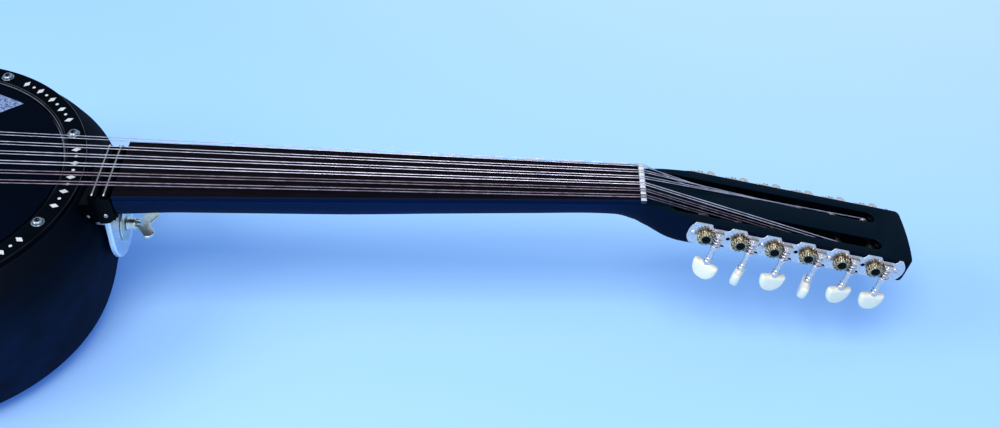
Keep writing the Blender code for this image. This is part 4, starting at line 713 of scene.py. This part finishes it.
def plate_bolt():
    """A bolt, with washer, button head, shank and the hexagon nut below, and a dark hexagon in its head that paints the
    socket's shade.
    """
    washer = turned(rounded([(2.2, 0), (4.5, 0), (4.5, 0.7), (2.2, 0.7)], 0.2, ring=True), 40, ring=True)
    head = turned([
        (0, 0.6), (3.7, 0.6), (3.75, 1.3), (3.4, 2.1), (2.8, 2.6), (2.2, 2.8), (1.95, 2.7), (1.9, 1.4), (0, 1.4),
    ], 36)
    shank = turned([(0, 0.2), (2.0, 0.2), (2.0, -9.4), (1.7, -9.8), (0, -9.8)], 24)
    nut = slab(rounded(polygon(6, 3.6), 0.4, ring=True), -9.6, -6.62, 0.3)
    socket = slab(polygon(6, 1.85), 1.3, 1.6, 0.05, steps=1)
    return moved(joined(washer, head, shank, nut), IN_MM), moved(socket, IN_MM)


def make_ring_motifs():
    """White lozenges and dots set out in an arc between each two bolts, printed on the plate."""
    dot = polygon(20, 1.15 * MM)
    lozenge = np.array([(0, -2.1), (3.4, 0), (0, 2.1), (-3.4, 0)]) * MM
    on_plate = Matrix.Translation((122.6 * MM, 0, PLATE_TOP + 0.01 * MM))
    forms = []
    for sector in range(8):
        for step in range(-4, 5):
            place = Matrix.Rotation(sector * math.pi / 4 + math.radians(3.5) * step, 4, "Z") @ on_plate
            forms.append(slab(dot if step % 2 else lozenge, 0, 0.1 * MM, 0.03 * MM, place, 1))
    put("plate_motifs", joined(*forms), WHITE_INK, "pot")


def make_head():
    """The drumhead: a flat film that bends over the bearing edge, ends in a lip, and carries a printed band."""
    top = PLATE_TOP - 0.6 * MM
    film = 0.4 * MM
    flat = 60 * MM
    outside = BEARING_RADIUS + WALL / 2 + 0.7 * MM
    lip = outside + 2.2 * MM
    low = top - 7.3 * MM
    bend = rounded([
        (flat, top), (outside, top), (outside, low + film), (lip, low + film),
        (lip, low), (outside - film, low), (outside - film, top - film), (flat, top - film),
    ], 0.6 * MM)
    profile = np.concatenate([[(0.0, top)], bend, [(0.0, top - film)]])
    put("head_film", turned(profile, 256), FILM, "pot", ("drum_head",), 60)
    middle = 82.3 * MM
    above = middle + 10.5 * MM
    below = middle - 16.5 * MM
    wide = 21 * MM
    outlines = [[(x - wide, middle), (x, below), (x + wide, middle), (x, above)] for x in (-46 * MM, 0, 46 * MM)]
    for x in (-23 * MM, 23 * MM):
        for edge, half, tip in ((above, 15 * MM, 2.5 * MM), (below, 16 * MM, -3 * MM)):
            outlines.append([(x - half, edge), (x, middle + tip), (x + half, edge)])
    marks = [slab(outline, top + 0.01 * MM, top + 0.08 * MM, 0.02 * MM, steps=1) for outline in outlines]
    put("head_print", joined(*marks), SILVER_INK, "pot")


def on_line(node, z=None):
    """A frame in millimetres where a CAD node starts on a level line along the instrument, and its length."""
    low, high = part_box(node)
    height = (low.z + high.z) / 2 if z is None else z
    return Matrix.Translation((low.x, 0, height)) @ ALONG_X @ IN_MM, (high.x - low.x) / MM


def threaded(root, crest, places):
    """A thread's profile: root and crest by turns."""
    return [(crest if number % 2 else root, place) for number, place in enumerate(places)]


def make_tail():
    """Bridge, tailpiece and its bolt."""
    refined("bridge_wood", "bridge", MAPLE, "pot", 0.5 * MM)
    refined("tail_plate", "tailpiece", NICKEL, "pot", 0.4 * MM)
    place, length = on_line("tail_bolt")
    nut = length - 3.4
    rim = length - 0.4
    bolt = [
        (0, 0), (2.6, 0.15), (4.2, 0.9), (4.95, 2.2), (4.95, 3), (2.55, 3),
        (2.55, nut), (4.7, nut), (4.7, rim), (4.3, length), (0, length),
    ]
    put("tail_screw", turned(bolt, 36, place), NICKEL, "pot", ("tail_bolt",))


def make_socket():
    """The output socket: barrel, bush, dished washer, hexagon nut and threaded end round an open bore."""
    # The socket stands square to the bowl's side, which leans in by this rise and run.
    lean = Matrix.Rotation(math.atan2(0.2689, 0.9632), 4, "Y")
    centre = Matrix.Translation((-140.47 * MM, 0, PLATE_TOP - 74 * MM))
    place = centre @ Matrix.Rotation(math.pi, 4, "Z") @ lean @ ALONG_X @ IN_MM
    barrel = [
        (0, -24), (6.3, -24), (6.6, -23.6), (6.6, -3.5), (4.9, -3.5), (4.9, 4.0), (4.6, 4.3), (3.45, 4.3),
        (3.45, -21), (0, -21),
    ]
    washer = rounded([(5.0, 0.6), (9.0, 0.6), (8.9, 1.2), (5.0, 1.5)], 0.15, ring=True)
    nut = slab(rounded(polygon(6, 7.4), 0.5, ring=True), 1.5, 2.8, 0.35)
    thread = threaded(4.8, 5.05, np.linspace(2.9, 4.1, 7)) + [(3.6, 4.1), (3.6, 2.9)]
    form = joined(turned(barrel, 40), turned(washer, 48, ring=True), nut, turned(thread, 40, ring=True))
    put("socket", moved(form, place), NICKEL, "pot", ("output_jack",))


# The joint

def make_joint():
    """Both castings, the pin, two rivets, the bright tongue, the washer and the stud."""
    refined("body_casting", "body_bracket", CASTING, "pot", 0.5 * MM)
    refined("neck_casting", "neck_shoe", CASTING, "neck", 0.5 * MM)
    low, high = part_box("hinge_pin")
    reach = (high.y - low.y) / MM
    pin = [(0, 0), (1.2, 0.05), (1.6, 0.5), (1.6, reach - 0.5), (1.2, reach - 0.05), (0, reach)]
    place = Matrix.Translation((HINGE_X, low.y, HINGE_Z)) @ ALONG_Y @ IN_MM
    put("joint_pin", turned(pin, 28, place), STEEL, "pot", ("hinge_pin",))
    rivet = turned([(0, 0), (1.4, 0), (1.3, 0.5), (0.8, 0.8), (0, 0.9)], 20, IN_MM)
    rivets = []
    for side in (-1, 1):
        seat = Matrix.Translation((138.7 * MM, side * 26.5 * MM, 122.8 * MM))
        rivets.append(moved(rivet, seat @ Matrix.Rotation(-side * math.pi / 2, 4, "X")))
    put("casting_rivets", joined(*rivets), STEEL, "pot")
    refined("bright_tongue", "clamp_tongue", ALUMINIUM, "neck", 0.8 * MM)
    washer = rounded([(3.8, 0), (12, 0), (12, 1.1), (9.9, 1.3), (9.2, 1.7), (3.8, 1.7)], 0.3, ring=True)
    place, _ = on_line("clamp_washer", STUD_Z)
    put("joint_washer", turned(washer, 72, place, ring=True), ZINC, "neck", ("clamp_washer",))
    place, length = on_line("clamp_stud", STUD_Z)
    stud = [(0, 0), (5.1, 0), (5.5, 0.4), (5.5, 4.0), (3.0, 4.0), (3.0, 6.0)]
    stud += threaded(2.75, 3.0, np.arange(6.5, length - 1, 0.5))
    stud += [(2.6, length - 0.5), (2.1, length), (0, length)]
    put("joint_stud", turned(stud, 36, place), ZINC, "pot", ("clamp_stud",))


def make_wing_nut():
    """The wing nut: a waisted hub and two flat wings that lean forward, with rounded rims."""
    bore = 3.75
    section = [(bore, 0), (5.0, 0), (4.9, 0.8), (4.3, 1.6), (4.3, 5.6), (4.0, 6.4), (bore, 6.4)]
    hub = turned(rounded(section, 0.3, ring=True), 48, ring=True)
    edge = np.array([
        (3, 3.5), (8.5, 4.6), (14.2, 13.4), (15.2, 14.4), (18.5, 14), (21, 10.5), (21.3, 8.8), (16.5, 0.8),
    ])
    outline = np.concatenate([edge, edge[::-1] * (1, -1)])
    wings = slab(rounded(outline, 1.1, ring=True), -1.3, 1.3, 0.7, ALONG_X.inverted())
    hole = turned([(0, -1), (bore, -1), (bore, 11.5), (0, 11.5)], 32)
    place, _ = on_line("wing_nut", STUD_Z)
    put("wing_nut_bright", moved(joined(hub, carved(wings, hole)), place), ZINC, "wing_nut", ("wing_nut",))


# The neck

def neck_rows():
    """The neck's sections as rows of x, height, tilt, half width, depth and squareness, eased between knots."""
    rows = []
    # Along the fingerboard: the share of its length, and the depth.
    for share, depth in ((0, 27.5), (0.12, 24.7), (0.4, 24.7), (0.62, 22.02), (0.8, 19.83), (0.9, 18.62)):
        x = NECK_START + (NUT_X - NECK_START) * share
        rows.append((x, neck_top(x), 0.0, neck_half_width(x), depth * MM, 2.0))
    # Through the bend: place along the head, share of its tilt, depth, share of its width, and squareness.
    bend = (
        (-20, 0.1, 19.66, 0.0, 2.0), (-6, 0.35, 23.85, 0.03, 2.2), (4.32, 0.65, 26.5, 0.16, 2.7),
        (12.96, 0.9, 25.6, 0.48, 4.0), (21.96, 1.0, 25.1, 0.7, 6.5), (29.88, 1.0, 24.4, 0.86, 8.0),
        (36, 1.0, 23.4, 1.0, 8.0), (50, 1.0, 21.8, 1.0, 8.0),
    )
    for along, turn, depth, flare, square in bend:
        point = HEAD_FRAME @ Vector((max(along, 0) * MM, 0, 0))
        narrow = neck_half_width(NUT_X)
        if along < 0:
            point = Vector((HEAD_X + along * MM, 0, neck_top(HEAD_X + along * MM)))
            narrow = neck_half_width(point.x)
        half = narrow + (HEAD_HALF_WIDTH - narrow) * flare
        rows.append((point.x, point.z, HEAD_TILT * turn, half, depth * MM, square))
    rows = np.array(rows)
    knots = np.concatenate([[0], np.cumsum(np.hypot(*np.diff(rows[:, :2], axis=0).T))])
    even = eased(knots, rows, np.linspace(0, knots[-1], 150))
    # The head's end: a round corner, then a shallow curve that meets in the middle.
    turn = np.linspace(0, np.radians(80), 9)
    corner = 4 * MM
    along = HEAD_LENGTH - corner + (corner - 1.2 * MM) * np.sin(turn)
    half = HEAD_HALF_WIDTH - corner * (1 - np.cos(turn))
    inner = np.linspace(half[-1], 2 * MM, 8)[1:]
    along = np.concatenate([along, along[-1] + (HEAD_LENGTH - along[-1]) * (1 - (inner / half[-1]) ** 2)])
    half = np.concatenate([half, inner])
    end = np.column_stack(np.broadcast_arrays(
        HEAD_X + along * math.cos(HEAD_TILT), HEAD_Z - along * math.sin(HEAD_TILT), HEAD_TILT,
        half, HEAD_THICKNESS, 8.0,
    ))
    return np.concatenate([even, end])


def make_neck():
    """Neck and head in one loft: a flat top with soft corners over a back that turns from round to square.

    Across each section y = half |cos a|^(2/p) and the depth is d sin(a)^(2/p), with p the squareness.
    """
    x, z, tilt, half, depth, square = neck_rows()[:, :, None].transpose(1, 0, 2)
    a = np.linspace(0, np.pi, 41)[None, :]
    soft = 0.8 * MM
    y = half * bent(np.cos(a), 2 / square)
    down = -soft - (depth - soft) * np.abs(np.sin(a)) ** (2 / square)
    y = np.concatenate([half - soft, half - 0.3 * soft, y, 0.3 * soft - half, soft - half], axis=1)
    top = np.zeros_like(half)
    down = np.concatenate([top, top - 0.3 * soft, down, top - 0.3 * soft, top], axis=1)
    form = grid(x + down * np.sin(tilt), y, z + down * np.cos(tilt), caps=True)
    put("neck_wood", carved(form, slot_cutter(-1), slot_cutter(1)), LACQUER, "neck", ("neck",), 40)


def slot_cutter(side):
    """The space of one slot: a round-ended outline that flares out in a quarter circle at both faces."""
    soft = 0.8 * MM
    t = HEAD_THICKNESS
    heights = np.array([-t - 6 * MM, -t, -t + 0.25 * soft, -t + soft, -soft, -0.6 * soft, -0.25 * soft, 0, 3 * MM])
    flare = np.array([1.0, 1.0, 0.34, 0, 0, 0.08, 0.34, 1.0, 1.6]) * soft
    half = SLOT_WIDTH / 2
    turn = np.linspace(np.pi / 2, 3 * np.pi / 2, 17)
    turn = np.concatenate([turn, turn - np.pi])
    centre = np.repeat([SLOT_START + half, SLOT_END - half], 17)
    radius = half + flare[:, None]
    y = side * SLOT_CENTRE + radius * np.sin(turn)
    return moved(grid(centre + radius * np.cos(turn), y, heights[:, None], caps=True), HEAD_FRAME)


def make_board_and_nut():
    """The fingerboard, a tapered loft with a low crown, and the nut with a dip under each string."""
    across = np.linspace(-1, 1, 25)[None]
    x = np.array([NECK_START, NUT_X - SEAT])[:, None]
    half = neck_half_width(x)
    top = board_top(x)
    crown = 0.5 * MM
    edge = 0.6 * MM
    foot = top - BOARD_THICKNESS
    shoulder = top - crown - edge
    y = np.concatenate([-half, -half, across * (half - edge), half, half], axis=1)
    z = np.concatenate([foot, shoulder, top - crown * across ** 2, shoulder, foot], axis=1)
    put("board_wood", grid(x, y, z, caps=True), BOARD, "neck", ("fingerboard",))
    low = board_top(NUT_X) - BOARD_THICKNESS
    end = NUT_X + NUT_LENGTH - SEAT
    section = rounded([(NUT_X, low), (NUT_X, NUT_TOP), (end, NUT_TOP - 0.3 * MM), (end, low)], 0.9 * MM, ring=True)
    y = np.linspace(-18.9 * MM, 18.9 * MM, 400)[:, None]
    dips = np.exp(-((y - string_places(*NUT_LINE[2:])) / (0.55 * MM)) ** 2).sum(axis=1, keepdims=True)
    x, z = section.T[:, None]
    z = z - 0.15 * MM * dips * (z > NUT_TOP - 1.2 * MM)
    put("nut_piece", grid(x, y, z, caps=True), NUT_WHITE, "neck", ("nut",))


# The tuning machines

def toothed(turns, width, flank):
    """A wave with one tooth a turn: full at each whole number, then a straight flank, then nothing."""
    return np.clip((width - np.abs((turns + 0.5) % 1 - 0.5)) / flank, 0, 1)


def gear_form():
    """The brass wheel: a toothed outline repeated across its width, waisted in the middle and coned outside.

    The radius at an angle is a wave with flat tips and round roots, and the teeth lean by the worm's lead.
    """
    angle = circle(TEETH * 12)
    lean = THREAD_PITCH / (2 * np.pi * WORM_PITCH_RADIUS) / PITCH_RADIUS
    half = WHEEL_WIDTH / 2
    y = np.array([-half, -half, -half + 0.4 * MM, -0.5 * half, 0, 0.35 * half, half, half])[:, None]
    size = np.array([0.0, 0.9, 0.98, 0.97, 0.96, 0.98, 0.8, 0.0])[:, None]
    wave = toothed((angle + y * lean) * TEETH / (2 * np.pi), 0.36, 0.22)
    wave = wave * wave * (3 - 2 * wave)
    radius = size * (PITCH_RADIUS - THREAD_RISE - ROOT_GAP + (2 * THREAD_RISE + ROOT_GAP) * wave)
    return grid(radius * np.cos(angle), y, radius * np.sin(angle))


def worm_form():
    """The worm and its shaft: the radius is a thread wave of height and angle along the worm, and beads below."""
    half = WORM_LENGTH / 2
    z = np.linspace(-half, half, 90)[:, None]
    angle = circle(28)
    wave = toothed(z / THREAD_PITCH - angle / (2 * np.pi), 0.34, 0.26)
    fade = np.clip((half - np.abs(z)) / (0.7 * MM), 0, 1)
    radius = WORM_PITCH_RADIUS - THREAD_RISE - ROOT_GAP + (2 * THREAD_RISE + ROOT_GAP) * wave * fade
    radius[[0, -1]] = 0
    thread = grid(radius * np.cos(angle), radius * np.sin(angle), z)
    tip = half / MM + 2.1
    below = -half / MM
    foot = -21.6
    shaft = rounded([
        (0, tip), (1.2, tip), (1.2, below - 0.3), (1.5, below - 0.35), (1.5, below - 1.7), (2.5, below - 1.9),
        (2.5, below - 4.1), (1.95, below - 4.4), (1.95, foot + 5.8), (2.4, foot + 5.5), (2.4, foot + 4.6),
        (2.1, foot + 4.3), (2.1, foot + 3.4), (2.6, foot + 2.9), (2.7, foot + 0.4), (2.2, foot - 0.8),
        (0, foot - 0.8),
    ], 0.15, steps=3)
    return joined(thread, turned(shaft, 28, IN_MM))


def button_form():
    """The button: half-moon outlines shrunk towards both faces by a rounded law, so the rim is soft."""
    half = 9.2 * MM
    top = -21.4 * MM
    deep = 13.7 * MM
    shoulder = 1.2 * MM
    a = np.linspace(0, np.pi, 33)
    upper = np.linspace(-half * 0.93, half * 0.93, 9)
    x = np.concatenate([half * bent(np.cos(a), 0.85), upper])
    z = np.concatenate([top - shoulder - (deep - shoulder) * np.abs(np.sin(a)) ** 0.9, np.full(9, top)])
    outline = rounded(np.column_stack([x, z]), 0.5 * MM, ring=True, steps=1)
    middle = np.array([0, top - deep / 2])
    tilt = np.linspace(-np.pi / 2, np.pi / 2, 17)
    width = 3.2 * MM * bent(np.sin(tilt), 0.8)
    scale = np.abs(np.cos(tilt)) ** 0.34
    flat = middle + (outline[None] - middle) * scale[:, None, None]
    return grid(flat[..., 0], width[:, None], flat[..., 1])


def post_form():
    """The string post: a plain rod from the wheel through the head's side and across the slot, its end chamfered."""
    radius = POST_RADIUS / MM
    end = (SLOT_CENTRE - SLOT_WIDTH / 2 - 4.2 * MM - WHEEL_MIDDLE) / MM
    profile = [(0, -1.85), (2.6, -1.85), (radius, -1.95), (radius, end + 0.2), (3.0, end), (0, end)]
    return turned(profile, 36, ALONG_Y @ IN_MM)


def screw_form(radius, height):
    """A slotted screw head: a low dome whose height falls as a circle, with a straight groove cut in."""
    turn = np.linspace(0, np.pi / 2, 7)[:-1]
    dome = [(radius * math.cos(t), height * (0.35 + 0.65 * math.sin(t))) for t in turn]
    half = 0.11 * radius
    reach = 1.2 * radius
    outline = [(-reach, -half), (reach, -half), (reach, half), (-reach, half)]
    groove = slab(outline, height * 0.55, height * 1.3, 0.02 * half, steps=1)
    return carved(turned([(0, 0), (radius, 0), *dome, (0, height)], 32), groove)


def make_tuners():
    """Twelve wheels, posts and screws that turn with the rollers, and twelve worms and buttons with the keys."""
    gear = gear_form()
    worm = worm_form()
    button = button_form()
    post = post_form()
    screw = moved(screw_form(3.1 * MM, 0.8 * MM), Matrix.Translation((0, WHEEL_WIDTH / 2, 0)) @ ALONG_Y)
    for name, side in (("near", -1), ("far", 1)):
        outwards = Matrix.Rotation(0 if side > 0 else math.pi, 4, "Z")
        for number, along in enumerate(TUNER_PLACES):
            tag = f"{name}_{number + 1}"
            roller = f"roller_{tag}"
            key = f"key_{tag}"
            turn = math.radians(KEY_TURNS[name][number])
            centre = HEAD_FRAME @ Matrix.Translation((along, side * WHEEL_MIDDLE, -TUNER_DEPTH))
            axle = centre @ Matrix.Rotation(turn / TEETH, 4, "Y") @ outwards
            shaft = centre @ Matrix.Translation((WORM_OFFSET, 0, 0)) @ Matrix.Rotation(turn, 4, "Z")
            put(f"gear_{tag}", moved(gear, axle), BRASS, roller, (roller,), 40)
            put(f"post_{tag}", moved(post, axle), NICKEL, roller)
            put(f"gear_screw_{tag}", moved(screw, axle), DARK_STEEL, roller)
            put(f"worm_{tag}", moved(worm, shaft), NICKEL, key, (key,), 50)
            put(f"button_{tag}", moved(button, shaft), PEARL, key)


def strip_outline(high):
    """The tuner plate's edge: a step out at each wheel, dips between, drawn-in ends, all corners rounded."""
    start = TUNER_PLACES[0] / MM - 12.4
    end = TUNER_PLACES[-1] / MM + 21.7
    low = 6.4
    upper = [(start, 2.6), (start + 0.5, 5), (start + 3.2, high)]
    for number, place in enumerate(TUNER_PLACES / MM):
        if number:
            upper += [(place - 9.6, low), (place - 8, high)]
        upper += [(place + 2.4, high), (place + 4, low)]
    upper += [(end - 8, low), (end - 6.7, high), (end - 3.7, high), (end - 1.3, 5.8), (end, 2.6)]
    upper = np.array(upper) * MM
    return rounded(np.concatenate([upper, upper[::-1] * (1, -1)]), 0.8 * MM, ring=True)


def make_strip(name, side):
    """A tuner plate: a thin slab with open holes, a pair of round-ended tabs at each worm, and its screws."""
    stand = HEAD_FRAME @ Matrix.Translation((0, 0, -TUNER_DEPTH))
    lie = stand @ Matrix.Rotation(math.radians(90), 4, "X")
    low, high = sorted((-side * STRIP_INNER, -side * STRIP_OUTER))
    plate = slab(strip_outline(9.1 if side < 0 else 8.4), low, high, 0.35 * MM, lie)
    hole = turned([(0, -4), (1.45, -4), (1.45, 4), (0, 4)], 20, IN_MM)
    holes = [
        moved(hole, lie @ Matrix.Translation((along * MM, 0, (low + high) / 2)))
        for along in (59.4, 108.2, 157)
    ]
    forms = [carved(plate, *holes)]
    reach = WHEEL_MIDDLE + 3.4 * MM - STRIP_OUTER
    wide = 3.4 * MM
    centre = 0.45 * MM
    foot = -0.4 * MM
    tip = np.linspace(-np.pi / 2, np.pi / 2, 13)
    out = np.concatenate([wide * (np.cos(tip) - 1) + reach, [foot, foot]])
    outline = np.column_stack([
        np.concatenate([wide * np.sin(tip), [wide, -wide]]) + centre, side * (STRIP_OUTER + out)
    ])
    start = WORM_LENGTH / 2 + SEAT
    for along in TUNER_PLACES + WORM_OFFSET:
        for level in (-1, 1):
            bottom, top = sorted((level * start, level * (start + 1.3 * MM)))
            forms.append(slab(outline + (along, 0), bottom, top, 0.3 * MM, stand))
    put(f"tuner_strip_{name}", joined(*forms), NICKEL, "neck", (f"tuner_plate_{name}",))
    screws = []
    head = screw_form(2.3 * MM, 1.3 * MM)
    outwards = Matrix.Rotation(-side * math.pi / 2, 4, "X")
    for number, along in enumerate((35, 83.8, 132.6, 181)):
        seat = stand @ Matrix.Translation((along * MM, side * STRIP_OUTER, 0)) @ outwards
        screws.append(moved(head, seat @ Matrix.Rotation(0.9 + 1.7 * number, 4, "Z")))
    put(f"strip_screws_{name}", joined(*screws), NICKEL, "neck")


# The strings

def string_places(course_gap, pair_gap):
    """The strings' places across: six courses about the middle, each a pair."""
    course = (np.arange(6) - 2.5) * course_gap
    return np.column_stack([course - pair_gap / 2, course + pair_gap / 2]).ravel()


def string_path(number, radius):
    """Points from the tailpiece over bridge and nut, down a tangent to the post, and nearly two turns round it."""
    side = -1 if number < 6 else 1
    roller = number if number < 6 else 11 - number
    # Each next string is wound a little further out on its post.
    across = side * (11.5 + 6.1 * roller / 5) * MM
    tail, bridge, nut = (
        np.array([x, string_places(*gaps)[number], height + lift])
        for (x, height, *gaps), lift in ((TAIL_LINE, 0), (BRIDGE_LINE, radius), (NUT_LINE, radius))
    )
    local = HEAD_FRAME.inverted() @ Vector(nut)
    run = np.array([local.x - TUNER_PLACES[roller], local.z + TUNER_DEPTH])
    wrap = POST_RADIUS + radius + 0.05 * MM
    start = math.atan2(run[1], run[0]) - math.acos(wrap / np.linalg.norm(run))
    wound = np.linspace(0, 1.8, 84)
    angle = start - 2 * np.pi * wound
    drift = -side * 2.2 * radius * wound
    coil = np.column_stack([
        TUNER_PLACES[roller] + wrap * np.cos(angle), across + drift, -TUNER_DEPTH + wrap * np.sin(angle), np.ones(84),
    ]) @ np.array(HEAD_FRAME).T[:, :3]
    share = np.linspace(0, 1, 9)[:-1, None]
    long_share = np.linspace(0, 1, 61)[:-1, None]
    return np.concatenate([
        tail + (bridge - tail) * share,
        bridge + (nut - bridge) * long_share,
        nut + (coil[0] - nut) * share,
        coil,
    ])


def make_strings():
    """Twelve strings that bend from the pot to the neck between bridge and nut, thin ones on the far side."""
    sides = 10
    for number in range(12):
        radius = THICK_WIRE + (THIN_WIRE - THICK_WIRE) * (number // 2) / 5
        path = string_path(number, radius)
        points, faces = tube(path, radius, sides)
        mesh = bpy.data.meshes.new(f"wire_{number + 1}")
        mesh.from_pydata(points.tolist(), [], faces)
        length = np.concatenate([[0], np.cumsum(np.linalg.norm(np.diff(path, axis=0), axis=1))]) / MM
        corners = np.zeros(len(mesh.loops), np.int32)
        mesh.loops.foreach_get("vertex_index", corners)
        chart = np.column_stack([length[corners // sides], (corners % sides) / sides])
        mesh.uv_layers.new(name="along").uv.foreach_set("vector", chart.astype(np.float32).ravel())
        mesh.shade_smooth()
        mesh.materials.append(WOUND_WIRE if number < 4 else PLAIN_WIRE)
        item = new_object(f"wire_{number + 1}", mesh)
        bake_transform(item)
        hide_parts(f"string_{number + 1}")


def finish_hidden_parts():
    """Metal and vinyl for the CAD parts inside the bowl, which keep their own shapes."""
    for name, finish in (("tension_hoop", STEEL), ("pickup", BRASS), ("pickup_lead", SHEATH)):
        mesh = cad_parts[name].data
        mesh.materials.clear()
        mesh.materials.append(finish)


# The stage

def make_stage():
    """A pale blue floor with a warm painted glow far off, a soft sky, and two large lamps that leave soft blue shadows.
    """
    finish = new_finish("pale_floor", "b2dbf4", 0.9, specular_ior_level=0.1)
    tree = finish.node_tree
    rays = add_node(finish, "LightPath", out=None)
    # The floor glows blue, and glows yellow far off as painted light, which only the camera and reflections see.
    seen = add_node(finish, "Math", {0: rays["Is Camera Ray"], 1: rays["Is Glossy Ray"]}, operation="MAXIMUM")
    glow = add_node(finish, "Math", {0: seen, 1: 0.8}, operation="MULTIPLY")
    behind = add_node(finish, "VectorMath", {0: place_of(finish), 1: (1.0, 1.3, 0.0)}, "Value", operation="DISTANCE")
    far = add_node(
        finish, "MapRange", {"Value": behind, "From Min": 1.4, "From Max": 0.7, "To Max": 0.2},
        interpolation_type="SMOOTHSTEP",
    )
    far_glow = add_node(finish, "Math", {0: far, 1: seen}, operation="MULTIPLY")
    surface = tree.nodes["Principled BSDF"].outputs[0]
    for light, strength in (((0.02, 0.1, 0.5, 1.0), glow), ((1.0, 0.85, 0.1, 1.0), far_glow)):
        lit = add_node(finish, "Emission", {"Color": light, "Strength": strength})
        surface = add_node(finish, "AddShader", {0: surface, 1: lit})
    tree.links.new(surface, tree.nodes["Material Output"].inputs["Surface"])
    mesh = bpy.data.meshes.new("floor")
    reach = 6.0
    corners = [(-reach, -reach, 0), (reach, -reach, 0), (reach, reach, 0), (-reach, reach, 0)]
    mesh.from_pydata(corners, [], [(0, 1, 2, 3)])
    mesh.materials.append(finish)
    new_object("floor", mesh)

    world = bpy.data.worlds.new("soft_sky")
    bpy.context.scene.world = world
    world.use_nodes = True
    sky = world.node_tree.nodes["Background"]
    sky.inputs["Color"].default_value = (0.62, 0.8, 1.0, 1.0)
    glossy = add_node(world, "LightPath", out="Is Glossy Ray")
    level = add_node(world, "Math", {0: glossy, 1: 0.42, 2: 0.48}, operation="MULTIPLY_ADD")
    world.node_tree.links.new(level, sky.inputs["Strength"])

    for name, place, watts in (("softbox", (0.35, -0.86, 1.7), 20.5), ("window", (-0.95, -0.55, 1.35), 12)):
        lamp = bpy.data.lights.new(name, "AREA")
        lamp.shape = "RECTANGLE"
        lamp.size = 1.0
        lamp.size_y = 0.8
        lamp.energy = watts
        lamp.color = (1.0, 0.97, 0.93)
        item = new_object(name, lamp)
        item.location = place
        aim = Vector((0.3, 0, 0.05)) - item.location
        item.rotation_euler = aim.to_track_quat("-Z", "Y").to_euler()


def make_camera():
    """The camera where the photograph was taken from: 42 degrees down, 1.0 m away, 49 mm lens."""
    camera = bpy.data.cameras.new("camera")
    camera.sensor_fit = "HORIZONTAL"
    camera.sensor_width = 36
    camera.lens = 48.78
    camera.clip_start = 0.05
    camera.clip_end = 60
    item = new_object("camera", camera)
    # The directions and the place are those that the fit to the photograph gave.
    right = Vector((0.99979, 0.01993, 0.00559))
    up = Vector((-0.01748, 0.66862, 0.74340))
    turn = Matrix((right, up, right.cross(up))).transposed().to_4x4()
    item.matrix_world = Matrix.Translation((0.4277, -0.7020, 0.7395)) @ turn
    bpy.context.scene.camera = item


make_camera()
make_stage()
make_bowl()
make_ring()
make_ring_motifs()
make_head()
make_tail()
make_socket()
make_joint()
make_wing_nut()
make_neck()
make_board_and_nut()
make_tuners()
make_strip("near", -1)
make_strip("far", 1)
make_strings()
finish_hidden_parts()

bpy.context.scene.view_settings.view_transform = "Standard"
